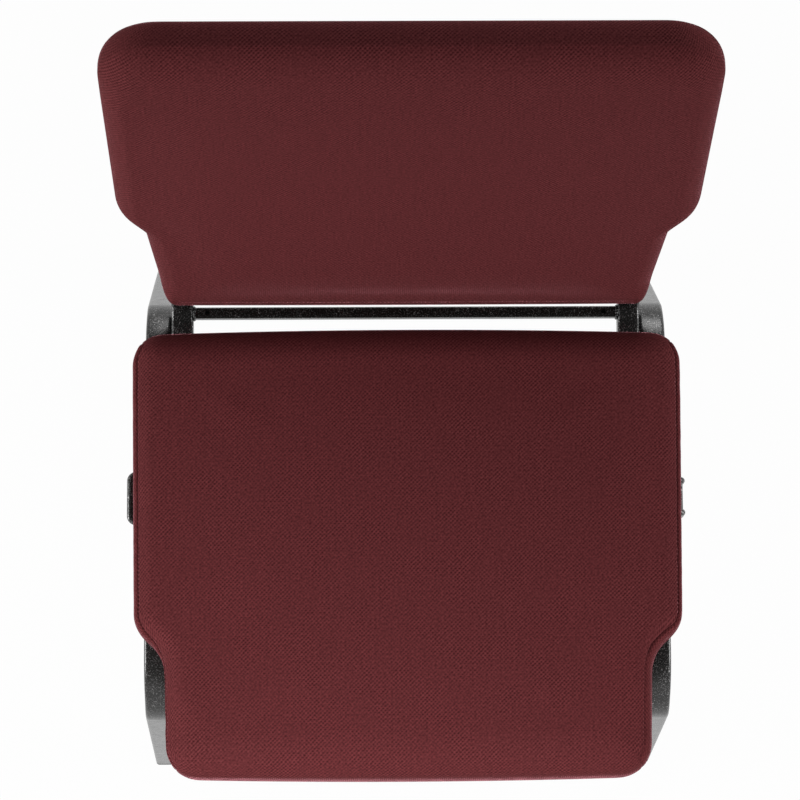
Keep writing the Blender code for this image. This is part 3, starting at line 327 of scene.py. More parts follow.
def burgundy_weave(shader):
    """Plain weave of thick yarns: warp and weft lie on top in turn, so their tops form a check."""
    uv = shader.add("UVMap", uv_map="weave").outputs[0]
    wander = shader.vector('SUBTRACT', shader.noise(uv, 75.0, output=1), (0.5, 0.5, 0.5))
    moved = shader.vector('ADD', uv, shader.vector('MULTIPLY', wander, [YARN_SWAY] * 3))
    cells = shader.vector('MULTIPLY', moved, [1.0 / WEAVE_CELL] * 3)
    split = shader.add("SeparateXYZ", {0: cells}).outputs
    across, along = split[0], split[1]

    def wave(value, turns=1.0):
        return shader.math('COSINE', shader.math('MULTIPLY', value, turns * math.pi))

    rising = wave(shader.math('SUBTRACT', across, along))
    falling = wave(shader.math('ADD', across, along))
    check = shader.math('MULTIPLY_ADD', rising, 0.62, shader.math('MULTIPLY', falling, -0.38))
    check = shader.math('MULTIPLY_ADD', wave(along, 2.0), 0.16, check)
    uneven = shader.noise(cells, 0.9, 1.0)
    fibre = shader.noise(moved, (7000.0, 2200.0, 1.0), 3.0)
    streak = shader.noise(cells, (0.55, 0.05, 1.0))
    strength = shader.ramp(shader.noise(uv, 30.0, 4.0, 0.6), 0.34, 0.62, 0.25, 1.1)
    tops = shader.math('MULTIPLY_ADD', shader.math('MULTIPLY', check, strength), 0.42, 0.5)
    for noise, share in ((fibre, 0.6), (uneven, 1.1)):
        tops = shader.math('MULTIPLY_ADD', shader.math('SUBTRACT', noise, 0.5), share, tops)
    colour = shader.mix(shader.ramp(tops, 0.0, 1.0), YARN_DARK, YARN_LIGHT)
    tint = shader.mix(shader.ramp(streak, 0.3, 0.7), (0.95, 0.95, 0.95), (1.05, 1.05, 1.05))
    colour = shader.mix(1.0, colour, tint, 'MULTIPLY')
    # The seam attribute mixes the weave towards SEAM_SHADOW: painted shadow along the seams.
    seam = shader.add("Attribute", attribute_name="seam").outputs["Fac"]
    shader.set(
        bump=(shader.math('MULTIPLY_ADD', fibre, 0.3, check), 0.35, 0.0004),
        Base_Color=shader.mix(shader.math('MULTIPLY', seam, 0.9), colour, SEAM_SHADOW),
        Roughness=shader.ramp(tops, 0.0, 1.0, 0.98, 0.78), Specular_IOR_Level=0.05,
        Sheen_Weight=1.0, Sheen_Roughness=0.12, Sheen_Tint=(0.90, 0.36, 0.42))


def silver_vein_coat(shader):
    """Black powder coat with silver veins: bright flecks in a dark, slightly pebbled gloss."""
    place = shader.place()
    warp = shader.vector('MULTIPLY', shader.noise(place, 420.0, output=1), [VEIN_WARP] * 3)
    inputs = {"Vector": shader.vector('ADD', place, warp), "Scale": 520.0}
    veins = shader.add("TexVoronoi", inputs, feature='DISTANCE_TO_EDGE').outputs[0]
    patches = shader.noise(place, 150.0)
    fleck = shader.ramp(shader.noise(place, 800.0, 2.0, 0.6), 0.50, 0.62)
    fleck = shader.math('MULTIPLY', fleck, shader.ramp(patches, 0.35, 0.6, 0.3, 1.0))
    fleck = shader.math('MULTIPLY', shader.ramp(veins, 0.01, 0.10, 1.0, 0.0), fleck)
    smooth = shader.ramp(patches, 0.2, 0.8, 0.20, 0.30)
    shader.set(
        bump=(shader.math('MULTIPLY_ADD', veins, -0.6, shader.noise(place, 700.0)), 0.25, 0.0003),
        Base_Color=shader.mix(fleck, (0.0095, 0.0092, 0.0086), (0.46, 0.45, 0.45)),
        Metallic=shader.ramp(fleck, 0.05, 0.4), Roughness=shader.math('MULTIPLY_ADD', fleck, 0.35, smooth))


def moulded_nylon(shader):
    """Black nylon with a fine spark-eroded grain and scuffs."""
    place = shader.place()
    scuffs = shader.noise(place, 180.0, 4.0, 0.65)
    worn = shader.ramp(scuffs, 0.55, 0.75)
    shader.set(
        bump=(shader.noise(place, 2600.0), 0.3, 0.0002),
        Base_Color=shader.mix(worn, (0.014, 0.014, 0.014), (0.035, 0.035, 0.034)),
        Roughness=shader.ramp(scuffs, 0.3, 0.7, 0.42, 0.62))


def zinc_plate(shader):
    place = shader.place()
    cloud = shader.noise(place, 350.0, 3.0)
    shader.set(
        bump=(shader.noise(place, (300.0, 300.0, 9000.0)), 0.15, 0.0001), Metallic=1.0,
        Base_Color=shader.mix(cloud, (0.46, 0.47, 0.47), (0.62, 0.61, 0.57)),
        Roughness=shader.ramp(cloud, 0.3, 0.7, 0.24, 0.42))


def birch_ply(shader):
    grain = shader.noise(shader.place(), (14.0, 160.0, 900.0), 5.0, 0.6)
    shader.set(
        bump=(grain, 0.3, 0.0003), Roughness=shader.ramp(grain, 0.3, 0.7, 0.8, 0.6),
        Base_Color=shader.mix(shader.ramp(grain, 0.3, 0.7), (0.38, 0.25, 0.13), (0.60, 0.45, 0.27)))


def open_cell_foam(shader):
    place = shader.place()
    cells = shader.add("TexVoronoi", {"Vector": place, "Scale": 900.0}).outputs[0]
    shader.set(
        bump=(cells, 0.6, 0.0005), Roughness=shader.ramp(cells, 0.0, 0.6, 1.0, 0.9),
        Base_Color=shader.mix(shader.noise(place, 25.0, 3.0), (0.76, 0.70, 0.50), (0.68, 0.58, 0.36)))


def black_spunbond(shader):
    """A felt of random fibres with a fine pattern of bonding dots."""
    place = shader.place()
    fibres = shader.noise(place, (1800.0, 420.0, 1.0), 4.0, 0.7)
    dots = shader.add("TexVoronoi", {"Vector": place, "Scale": 700.0, "Randomness": 0.0}).outputs[0]
    pressed = shader.ramp(dots, 0.12, 0.22, 1.0, 0.0)
    colour = shader.mix(shader.ramp(fibres, 0.35, 0.7), (0.010, 0.010, 0.011), (0.030, 0.030, 0.031))
    shader.set(
        bump=(shader.math('MULTIPLY_ADD', pressed, -0.5, fibres), 0.4, 0.0003), Sheen_Weight=0.1,
        Base_Color=shader.mix(pressed, colour, (0.016, 0.016, 0.017)),
        Roughness=shader.ramp(pressed, 0.0, 1.0, 0.95, 0.6))


def make_material(recipe):
    material = bpy.data.materials.new(recipe.__name__)
    recipe(Shader(material))
    return material


RECIPES = {
    "fabric": burgundy_weave, "frame": silver_vein_coat, "plastic": moulded_nylon, "zinc": zinc_plate,
    "plywood": birch_ply, "foam": open_cell_foam, "dust_cloth": black_spunbond}
MATERIALS = {slot: make_material(recipe) for slot, recipe in RECIPES.items()}


def dress_frame_nodes():
    """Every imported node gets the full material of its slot."""
    slots = {part["node"]: part["material_slot"] for part in frame["record"]["subparts"]}
    for name, node in frame["nodes"].items():
        material = MATERIALS[slots[name]]
        if not node.material_slots:
            node.data.materials.append(material)
        for slot in node.material_slots:
            slot.material = material


# Meshes

def new_mesh(name, points, faces):
    mesh = bpy.data.meshes.new(name)
    mesh.from_pydata([tuple(point) for point in points], [], [tuple(face) for face in faces])
    return mesh


def add_object(name, data):
    item = bpy.data.objects.new(name, data)
    bpy.context.scene.collection.objects.link(item)
    return item


def add_piece(name, shape, slot, *replaced, matrix=TO_WORLD):
    """One piece of the chair from the points and faces of a shape."""
    mesh = new_mesh(name, *shape)
    mesh.transform(matrix)
    mesh.update()
    mesh.shade_smooth()
    piece = add_object(name, mesh)
    mesh.materials.append(MATERIALS[slot])
    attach(piece, BODY)
    if replaced:
        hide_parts(*replaced)
    return piece


def sharpen(piece):
    """Smooth shading stops at the sharp edges."""
    piece.data.set_sharp_from_angle(angle=SHARP_ANGLE)


def arc_points(before, corner, after, radius, steps):
    """Points of the round that replaces one corner between two straight runs."""
    arriving = (corner - before).normalized()
    leaving = (after - corner).normalized()
    turn = arriving.angle(leaving)
    start = corner - arriving * radius * math.tan(turn / 2)
    inward = (leaving - arriving * arriving.dot(leaving)).normalized()
    centre = start + inward * radius
    angles = [turn * step / steps for step in range(steps + 1)]
    return [centre + radius * (arriving * math.sin(angle) - inward * math.cos(angle)) for angle in angles]


def rounded_path(corners, radius, steps):
    points = [corners[0]]
    for before, corner, after in zip(corners, corners[1:], corners[2:]):
        points.extend(arc_points(before, corner, after, radius, steps))
    return points + [corners[-1]]


def rounded_loop(corners, radii, steps):
    points = []
    for index, (corner, radius) in enumerate(zip(corners, radii)):
        after = corners[(index + 1) % len(corners)]
        points.extend(arc_points(corners[index - 1], corner, after, radius, steps))
    return points


def square_section(size, corner):
    half = size / 2
    corners = [Vector(pair) for pair in ((half, -half), (half, half), (-half, half), (-half, -half))]
    return rounded_loop(corners, [corner] * 4, CORNER_STEPS)


def circle(radius, steps=ROUND_STEPS):
    turns = [2 * math.pi * step / steps for step in range(steps)]
    return [Vector((radius * math.cos(turn), radius * math.sin(turn))) for turn in turns]


def skin(rings, closed=False):
    """Skin over rings of points, with flat ends or closed on itself. Returns points and faces."""
    count = len(rings[0])
    total = len(rings) * count
    faces = []
    for ring in range(len(rings) if closed else len(rings) - 1):
        for step in range(count):
            one = ring * count + step
            two = ring * count + (step + 1) % count
            faces.append((one, two, (two + count) % total, (one + count) % total))
    if not closed:
        faces.append(tuple(range(count - 1, -1, -1)))
        faces.append(tuple(range(total - count, total)))
    return [point for ring in rings for point in ring], faces


def sweep(path, section, sizes=None, closed=False):
    """Skin of a section carried along a path, which can close on itself."""
    rings = []
    side = Vector((1.0, 0.0, 0.0))
    for index, place in enumerate(path):
        ahead = path[(index + 1) % len(path)] if closed else path[min(index + 1, len(path) - 1)]
        behind = path[index - 1] if closed else path[max(index - 1, 0)]
        along = (ahead - behind).normalized()
        if abs(along.dot(side)) > 0.99:
            side = Vector((0.0, 1.0, 0.0))
        side = (side - along * along.dot(side)).normalized()
        other = along.cross(side)
        size = 1.0 if sizes is None else sizes[index]
        rings.append([place + (side * a + other * b) * size for a, b in section])
    return skin(rings, closed)


def turned(profile, steps=2 * ROUND_STEPS):
    """Shape turned round the Z axis from (radius, height) pairs, bottom to top."""
    return skin([[Vector((*pair, height)) for pair in circle(radius, steps)] for radius, height in profile])


def join(shapes):
    """One list of points and one of faces from several shapes."""
    points = []
    faces = []
    for shape_points, shape_faces in shapes:
        start = len(points)
        points += shape_points
        faces += [tuple(start + index for index in face) for face in shape_faces]
    return points, faces


def moved_by(shape, offset):
    return [point + offset for point in shape[0]], shape[1]


# Pads

def dense_outline(right_corners, radii):
    """Outline from the corners of its right half, front to rear, and where each round has its middle."""
    corners = [Vector(corner) for corner in right_corners]
    corners += [Vector((-x, y)) for x, y in reversed(right_corners)]
    all_radii = list(radii) + list(reversed(radii))
    points = np.array([tuple(point) for point in rounded_loop(corners, all_radii, OUTLINE_STEPS)])
    middles = [index * (OUTLINE_STEPS + 1) + OUTLINE_STEPS // 2 for index in range(len(corners))]
    return points, middles


def outward_normals(points):
    along = np.roll(points, -1, axis=0) - np.roll(points, 1, axis=0)
    normals = np.stack((along[:, 1], -along[:, 0]), axis=1)
    return normals / np.linalg.norm(normals, axis=1, keepdims=True)


def arc_lengths(points):
    """Length along a line of points, from its start to each of them."""
    return np.concatenate(([0.0], np.cumsum(np.linalg.norm(np.diff(points, axis=0), axis=1))))


def side_shares(length, cells):
    """Even steps along one side of a pad, with narrow ones at both ends for the seams there."""
    even = np.linspace(0.0, 1.0, cells - 3)
    narrow = np.array(SEAM_STEPS) / length
    inner = even[1:-1]
    return np.concatenate(([0.0], narrow, inner, 1.0 - narrow[::-1], [1.0]))


class Outline:
    """Points round a pad, grouped by side: front, right, rear and left, from corner to corner."""

    def __init__(self, right_corners, radii, across_cells, along_cells):
        points, middles = dense_outline(right_corners, radii)
        count = len(right_corners)
        starts = [middles[-1], middles[0], middles[count - 1], middles[count]]
        places = []
        self.corners = [0]
        self.arc = []
        for side in range(4):
            first = starts[side]
            last = starts[(side + 1) % 4]
            if last < first:
                last += len(points)
            run = points[np.arange(first, last + 1) % len(points)]
            lengths = arc_lengths(run)
            cells = across_cells if side % 2 == 0 else along_cells
            at = side_shares(lengths[-1], cells) * lengths[-1]
            run = np.stack([np.interp(at, lengths, values) for values in run.T], axis=1)
            places.append(run[:-1])
            self.arc.append(at)
            self.corners.append(self.corners[-1] + len(run) - 1)
        self.dense = points
        self.points = np.concatenate(places)
        dense_normals = outward_normals(points)
        nearest = np.argmin(np.linalg.norm(self.points[:, None] - points[None], axis=2), axis=1)
        blurred = sum(np.roll(dense_normals, shift, axis=0) for shift in range(-3, 4))
        blurred /= np.linalg.norm(blurred, axis=1, keepdims=True)
        self.normals = blurred[nearest]

    def inset(self, distance):
        return self.points - self.normals * np.broadcast_to(distance, len(self.points))[:, None]

    def side(self, index, values):
        """The values of one side, both of its corners included."""
        first = self.corners[index]
        last = self.corners[index + 1]
        return values[np.arange(first, last + 1) % len(values)]

    def fill(self, ring):
        """Grid of points that fills a ring, from its four sides."""
        front = self.side(0, ring)
        right = self.side(1, ring)
        rear = self.side(2, ring)[::-1]
        left = self.side(3, ring)[::-1]
        u = np.linspace(0.0, 1.0, len(front))[None, :, None]
        v = np.linspace(0.0, 1.0, len(left))[:, None, None]
        ruled = (1 - v) * front[None] + v * rear[None] + (1 - u) * left[:, None] + u * right[:, None]
        corners = (1 - u) * (1 - v) * front[0] + u * (1 - v) * front[-1]
        corners = corners + (1 - u) * v * rear[0] + u * v * rear[-1]
        return ruled - corners

    def distances(self, points):
        spans = np.roll(self.dense, -1, axis=0) - self.dense
        nearest = np.full(len(points), np.inf)
        for start, span in zip(self.dense, spans):
            offsets = points - start
            share = np.clip(offsets @ span / max(span @ span, 1e-12), 0.0, 1.0)
            nearest = np.minimum(nearest, np.linalg.norm(offsets - share[:, None] * span, axis=1))
        return nearest


def smooth_step(share):
    share = np.clip(share, 0.0, 1.0)
    return share * share * (3.0 - 2.0 * share)


def edge_round(side, *ends):
    """Edge round of a pad's sides, blended into its ends: each has a distance, a reach and a round."""
    return side + sum((end - side) * np.clip(ROUND_FADE - distance / reach, 0.0, 1.0)
                      for distance, reach, end in ends)


def dome(rim, top, crown, across, along, share):
    """Level of a pad's top, at shares of its half width, its half length and its edge round."""
    bulge = crown * np.clip((1.0 - across ** 2) * (1.0 - along ** 2), 0.0, 1.0) ** CROWN_POWER
    quarter_round = np.sqrt(1.0 - (1.0 - np.clip(share, 0.0, 1.0)) ** 2)
    return rim + (top - crown - rim + bulge) * quarter_round


def grid_faces(ids):
    return np.stack((ids[:-1, :-1], ids[:-1, 1:], ids[1:, 1:], ids[1:, :-1]), axis=2).reshape(-1, 4)


class Pad:
    """Closed pad: a grid on top, rings of points round its walls and a grid below."""

    def __init__(self, outline, rings, level, bottom, seam_ring, edge_ring):
        self.outline = outline
        self.seam_ring = seam_ring
        self.edge_ring = edge_ring
        self.count = len(outline.points)
        self.rings = [
            np.column_stack((places, np.broadcast_to(levels, self.count))) for places, levels in rings]
        self.top = self.grid(self.rings[0], lambda plan: level(plan, outline.distances(plan)))
        self.bottom = self.grid(self.rings[-1], lambda plan: np.full(len(plan), bottom))
        self.number()

    def grid(self, ring, level):
        plan = self.outline.fill(ring[:, :2])
        return np.dstack((plan, level(plan.reshape(-1, 2)).reshape(plan.shape[:2])))

    def number(self):
        """Numbers all points: rings first, then the inner points of the two grids."""
        rows, columns = self.top.shape[:2]
        inner = (rows - 2) * (columns - 2)
        start = len(self.rings) * self.count
        self.points = np.concatenate(
            self.rings + [self.top[1:-1, 1:-1].reshape(-1, 3), self.bottom[1:-1, 1:-1].reshape(-1, 3)])
        self.ring_ids = np.arange(start).reshape(len(self.rings), self.count)
        self.top_ids = self.grid_ids(self.ring_ids[0], np.arange(start, start + inner), rows, columns)
        self.bottom_ids = self.grid_ids(
            self.ring_ids[-1], np.arange(start + inner, start + 2 * inner), rows, columns)

    def grid_ids(self, ring, inner, rows, columns):
        ids = np.zeros((rows, columns), dtype=int)
        ids[1:-1, 1:-1] = inner.reshape(rows - 2, columns - 2)
        ids[0] = self.outline.side(0, ring)
        ids[:, -1] = self.outline.side(1, ring)
        ids[-1] = self.outline.side(2, ring)[::-1]
        ids[:, 0] = self.outline.side(3, ring)[::-1]
        return ids

    def faces(self):
        """All faces, with the panel of cloth that each belongs to."""
        top = grid_faces(self.top_ids)
        bottom = grid_faces(self.bottom_ids)[:, ::-1]
        ids = self.ring_ids
        after = np.roll(ids, -1, axis=1)
        walls = np.stack((after[:-1], ids[:-1], ids[1:], after[1:]), axis=2).reshape(-1, 4)
        panels = ['top'] * len(top) + ['bottom'] * len(bottom)
        for ring in range(len(self.rings) - 1):
            panels += [self.wall_panel(ring, step) for step in range(self.count)]
        return np.concatenate((top, bottom, walls)).tolist(), panels

    def falls(self):
        """Length of cloth from the first ring down to each ring."""
        spans = np.linalg.norm(np.diff(self.points[self.ring_ids], axis=0), axis=2)
        return np.concatenate((np.zeros((1, self.count)), np.cumsum(spans, axis=0)))

    def limits(self, swell):
        """How far the cloth may swell at each point: most in the middle, little on the walls."""
        distances = self.outline.distances(self.points[:, :2])
        distances[self.ring_ids[self.edge_ring:].ravel()] = 0.0
        return swell * (WALL_SHARE + (1.0 - WALL_SHARE) * smooth_step(distances / SWELL_REACH))


def point_values(mesh, name):
    return np.array([tuple(getattr(vert, name)) for vert in mesh.vertices])


def move_points(piece, places):
    piece.data.vertices.foreach_set("co", places.ravel())
    piece.data.update()


def puff_up(piece, held, limits, pressure):
    """Blows the cloth up from inside, with some points held.

    A point moves outwards by its limit at most, and not inwards, because foam is behind it.
    """
    rest = point_values(piece.data, "co")
    normals = point_values(piece.data, "normal")
    group = piece.vertex_groups.new(name="held")
    group.add([int(index) for index in held], 1.0, 'REPLACE')
    cloth = piece.modifiers.new("puff", 'CLOTH')
    for name, value in CLOTH_SETTINGS.items():
        setattr(cloth.settings, name, value)
    cloth.settings.uniform_pressure_force = pressure
    cloth.settings.effector_weights.gravity = 0.0
    cloth.settings.vertex_group_mass = "held"
    cloth.collision_settings.use_collision = False
    cloth.point_cache.frame_start = 1
    cloth.point_cache.frame_end = SIM_FRAMES
    for number in range(1, SIM_FRAMES + 1):
        bpy.context.scene.frame_set(number)
    evaluated = piece.evaluated_get(bpy.context.evaluated_depsgraph_get())
    blown = point_values(evaluated.data, "co")
    piece.modifiers.remove(cloth)
    piece.vertex_groups.remove(group)
    bpy.context.scene.frame_set(1)
    outward = ((blown - rest) * normals).sum(axis=1)
    share = np.clip(outward / np.percentile(outward, FULL_SWELL), 0.0, 1.0)
    move_points(piece, rest + normals * (limits * smooth_step(share))[:, None])


def swell_pad(piece, pad, held, swell, pressure):
    """Swells the cloth between the held points. Returns its points and normals."""
    held = np.unique(np.concatenate([ids.ravel() for ids in held]))
    puff_up(piece, held, pad.limits(swell), pressure)
    return point_values(piece.data, "co"), point_values(piece.data, "normal")


def mark_seam(piece, points, shades):
    """Keeps the edges between these points sharp when the pad is subdivided, and gives the points their
    share of painted seam shadow.
    """
    chosen = set(int(point) for point in points)
    layer = piece.data.attributes.new("seam", 'FLOAT', 'POINT')
    for point, shade in zip(points, shades):
        layer.data[int(point)].value = float(shade)
    layer = piece.data.attributes.new("crease_edge", 'FLOAT', 'EDGE')
    for edge in piece.data.edges:
        if edge.vertices[0] in chosen and edge.vertices[1] in chosen:
            layer.data[edge.index].value = 1.0


def finish_pad(piece, panels, flat):
    """Weave coordinates and one subdivision."""
    layer = piece.data.uv_layers.new(name="weave")
    for polygon in piece.data.polygons:
        places = flat[panels[polygon.index]]
        for loop in polygon.loop_indices:
            layer.data[loop].uv = places[piece.data.loops[loop].vertex_index]
    rounding = piece.modifiers.new("rounding", 'SUBSURF')
    rounding.levels = 1
    rounding.render_levels = 1


# Seat pad

def seat_plan():
    corners = (
        (SEAT_FRONT_WIDTH / 2 - SEAT_FRONT_TAPER, SEAT_FRONT + SEAT_BOW),
        (SEAT_FRONT_WIDTH / 2, SEAT_SHOULDER_FRONT),
        (SEAT_SHOULDER_WIDTH / 2, SEAT_SHOULDER_REAR), (SEAT_WIDTH / 2, SEAT_REAR - SEAT_BOW))
    radii = (SEAT_FRONT_CORNER, SEAT_NOTCH_ROUND, SEAT_SHOULDER_ROUND, SEAT_REAR_CORNER)
    return Outline(corners, radii, ACROSS_CELLS, SEAT_ALONG_CELLS)


def bow_ends(points):
    """Bows the front and the rear of the seat outwards in the middle."""
    across = np.clip(1.0 - (points[:, 0] / (SEAT_WIDTH / 2)) ** 2, 0.0, None)
    points[:, 1] += SEAT_BOW * across * points[:, 1] / SEAT_REAR


def seat_level(plan, distance):
    x, y = plan.T
    rounding = edge_round(
        SEAT_EDGE_ROUND, (y - SEAT_FRONT, SEAT_FRONT_ROUND, SEAT_FRONT_ROUND),
        (SEAT_REAR - y, SEAT_REAR_ROUND, SEAT_REAR_ROUND))
    return dome(SEAT_WAIST, SEAT_TOP, SEAT_CROWN, x / (SEAT_WIDTH / 2), y / SEAT_REAR, distance / rounding)


class SeatPad(Pad):
    """Its seams run along both sides of the top and down the four corners."""

    def wall_panel(self, ring, step):
        corners = self.outline.corners
        if corners[0] <= step < corners[1] or corners[2] <= step < corners[3]:
            return 'top'
        if ring < self.seam_ring:
            return 'top'
        return 'right_band' if step < corners[2] else 'left_band'


def make_seat_pad():
    outline = seat_plan()
    x, y = outline.points.T
    wide = np.clip((y - SEAT_SHOULDER_FRONT) / (SEAT_SHOULDER_REAR - SEAT_SHOULDER_FRONT), 0.0, 1.0)
    rightward = smooth_step(0.5 + x / SEAT_FRONT_WIDTH)
    front = SEAT_LEFT_FRONT_SEAM_INSET
    front = front + (SEAT_RIGHT_FRONT_SEAM_INSET - SEAT_LEFT_FRONT_SEAM_INSET) * rightward
    seam = front + (SEAT_SEAM_INSET - front) * wide
    rings = []
    for step in SEAT_TOP_STEPS:
        plan = outline.inset(seam + step)
        rings.append((plan, seat_level(plan, seam + step)))
    seam_ring = len(rings) - 1
    seam_level = rings[-1][1]
    lowest = HEM_LEVEL + SEAT_HEM_STEPS[0][1]
    for share, inset in SEAT_WALL_STEPS:
        rings.append((outline.inset(seam * inset), seam_level + (lowest - seam_level) * share))
    for inset, above in SEAT_HEM_STEPS:
        rings.append((outline.inset(inset), HEM_LEVEL + above))
    pad = SeatPad(outline, rings, seat_level, HEM_LEVEL, seam_ring, seam_ring)
    bow_ends(pad.points)
    faces, panels = pad.faces()
    piece = add_piece("seat_pad", (pad.points, faces), "fabric", "seat_cover", "seat_foam")
    sew_seat(piece, pad)
    finish_pad(piece, panels, seat_weave(pad))


def sew_seat(piece, pad):
    """Swells the cushion and then draws the seams in."""
    ids = pad.ring_ids
    corners = pad.outline.corners[:4]
    sides = np.r_[corners[1]:corners[2] + 1, corners[3]:pad.count, 0]
    seam = ids[pad.seam_ring][sides]
    posts = ids[pad.seam_ring + 1:-3][:, corners].ravel()
    held = (seam, posts, ids[-3:], pad.bottom_ids)
    places, normals = swell_pad(piece, pad, held, SEAT_SWELL, SEAT_PRESSURE)
    inner = np.setdiff1d(seam, ids[pad.seam_ring][corners])
    beside = np.concatenate((ids[pad.seam_ring - 1][sides], ids[pad.seam_ring + 1][sides]))
    wide = places[:, 1] - SEAT_Y > SEAT_SHOULDER_FRONT
    places[inner] -= normals[inner] * np.where(wide[inner], SEAM_DEPTH, FRONT_SEAM_DEPTH)[:, None]
    places[posts] -= normals[posts] * CORNER_SEAM_DEPTH
    places[beside] += normals[beside] * SEAM_LIP
    wide = places[seam, 1] - SEAT_Y > SEAT_SHOULDER_FRONT
    move_points(piece, places + normals * seat_puckers(pad)[:, None])
    # Painted seam shadow: full along the wide sides, weaker at the front and down the corner posts.
    shades = np.concatenate((np.where(wide, 1.0, FRONT_SEAM_SHADE), np.full(len(posts), FRONT_SEAM_SHADE)))
    mark_seam(piece, np.concatenate((seam, posts)), shades)


def seat_puckers(pad):
    """Small waves that the stitches draw into the cloth beside the side seams."""
    heights = np.zeros(len(pad.points))
    seam = pad.rings[pad.seam_ring]
    for side in (1, 3):
        steps = np.arange(pad.outline.corners[side], pad.outline.corners[side + 1])
        turns = 2 * math.pi * pad.outline.arc[side][:-1] / PUCKER_LENGTH
        waves = np.sin(turns + 1.7 * np.sin(turns / 4.3)) * (0.6 + 0.4 * np.sin(turns / 2.6))
        for ring, ids in zip(pad.rings, pad.ring_ids):
            distance = np.linalg.norm(ring[steps] - seam[steps], axis=1)
            heights[ids[steps]] = PUCKER_HEIGHT * waves * np.exp(-distance / PUCKER_REACH)
    return heights


def seat_weave(pad):
    """Flat coordinates of the cloth for each panel, by point."""
    plan = pad.points[:, :2]
    ids = pad.ring_ids
    falls = pad.falls()
    corners = pad.outline.corners
    steps = np.arange(pad.count)
    side = np.searchsorted(corners, steps, side='right') - 1
    front = (side == 0) | (steps == corners[1])
    rear = (side == 2) | (steps == corners[3])
    start = plan[ids[0]]
    outward = np.copysign(falls, start[:, 0])
    top = plan.copy()
    top[ids, 0] = np.where(front | rear, plan[ids, 0], start[:, 0] + outward)
    top[ids, 1] = start[:, 1] + falls * np.where(front, -1.0, np.where(rear, 1.0, 0.0))
    seam = pad.rings[pad.seam_ring][:, :2]
    around = arc_lengths(np.concatenate((seam, seam[:1])))
    flat = {'top': top, 'bottom': plan}
    for panel, first in (('right_band', 0.0), ('left_band', around[-1])):
        band = plan.copy()
        band[ids, 0] = around[:-1]
        band[ids[:, 0], 0] = first
        band[ids, 1] = -falls
        flat[panel] = band
    return flat


# Back pad

def back_plan():
    corners = (
        (BACK_BOTTOM_WIDTH / 2, 0.0), (BACK_WAIST_WIDTH / 2, BACK_SHOULDER_BOTTOM),
        (BACK_WIDTH / 2, BACK_SHOULDER_TOP), (BACK_WIDTH / 2, BACK_HEIGHT))
    radii = (BACK_BOTTOM_CORNER, BACK_NOTCH_ROUND, BACK_SHOULDER_ROUND, BACK_TOP_CORNER)
    return Outline(corners, radii, ACROSS_CELLS, BACK_ALONG_CELLS)


def back_level(plan, distance):
    x, y = plan.T
    rounding = edge_round(
        BACK_EDGE_ROUND, (BACK_HEIGHT - y, BACK_TOP_ROUND, BACK_TOP_ROUND),
        (y, BACK_EDGE_ROUND, BACK_BOTTOM_ROUND))
    along = 2.0 * y / BACK_HEIGHT - 1.0
    return dome(BACK_RIM, BACK_DEPTH, BACK_CROWN, x / (BACK_WIDTH / 2), along, distance / rounding)


def back_rear_rounds(y):
    """Round of the rear edge: small at the shoulders, rolled over at the top."""
    share = (y - BACK_SHOULDER_TOP) / (BACK_HEIGHT - BACK_TOP_CORNER - BACK_SHOULDER_TOP)
    return BACK_REAR_ROUND + (BACK_ROLL - BACK_REAR_ROUND) * np.clip(share, 0.0, 1.0)


class BackPad(Pad):
    """Its front cloth wraps over the edges to a seam on the rear face."""

    def wall_panel(self, ring, step):
        return 'top' if ring < self.seam_ring else 'bottom'


def make_back_pad():
    outline = back_plan()
    rounds = back_rear_rounds(outline.points[:, 1])
    rings = []
    for inset in BACK_FRONT_STEPS:
        rings.append((outline.inset(inset), back_level(outline.inset(inset), inset)))
    rim = rings[-1][1]
    for share in BACK_WALL_SHARES:
        rings.append((outline.inset(0.0), rim + (rounds - rim) * share))
    for step in range(REAR_ROUND_STEPS):
        angle = math.pi / 2 * step / REAR_ROUND_STEPS
        rings.append((outline.inset(rounds * (1.0 - math.cos(angle))), rounds * (1.0 - math.sin(angle))))
    seam = rounds + BACK_SEAM_INSET
    seam_ring = len(rings) + len(SEAM_STEPS)
    for offset in (-SEAM_STEPS[1], -SEAM_STEPS[0], 0.0, *SEAM_STEPS):
        rings.append((outline.inset(seam + offset), 0.0))
    pad = BackPad(outline, rings, back_level, 0.0, seam_ring, len(BACK_FRONT_STEPS))
    faces, panels = pad.faces()
    piece = add_piece("back_pad", (pad.points, faces), "fabric", "back_cover", "back_foam", matrix=Matrix())
    sew_back(piece, pad)
    finish_pad(piece, panels, back_weave(pad))
    piece.data.transform(BACK_TO_WORLD)


def sew_back(piece, pad):
    """Swells the front and then draws the rear seam in."""
    ids = pad.ring_ids
    seam = ids[pad.seam_ring]
    held = (ids[pad.seam_ring - 4:], pad.bottom_ids)
    places, normals = swell_pad(piece, pad, held, BACK_SWELL, BACK_PRESSURE)
    beside = np.concatenate((ids[pad.seam_ring - 1], ids[pad.seam_ring + 1]))
    places[seam] -= normals[seam] * REAR_SEAM_DEPTH
    places[beside] += normals[beside] * REAR_SEAM_LIP
    move_points(piece, places)
    mark_seam(piece, seam, np.ones(len(seam)))


def back_weave(pad):
    plan = pad.points[:, :2]
    top = plan.copy()
    top[pad.ring_ids] = plan[pad.ring_ids[0]] + pad.outline.normals * pad.falls()[..., None]
    return {'top': top, 'bottom': plan}


# Frame

def leg_axis(lean):
    return Vector((0.0, math.sin(lean), math.cos(lean)))


def splayed(shape, side):
    """The shape on the rail of one side, splayed outwards below the rail."""
    between_legs = (FRONT_FOOT_Y + REAR_FOOT_Y) / 2
    placed = []
    for point in shape[0]:
        splay = FRONT_LEG_SPLAY if point.y < between_legs else REAR_LEG_SPLAY
        out = RAIL_X + math.tan(splay) * max(0.0, SPLAY_START - point.z)
        placed.append(point + Vector((side * out, 0.0, 0.0)))
    return placed, shape[1]


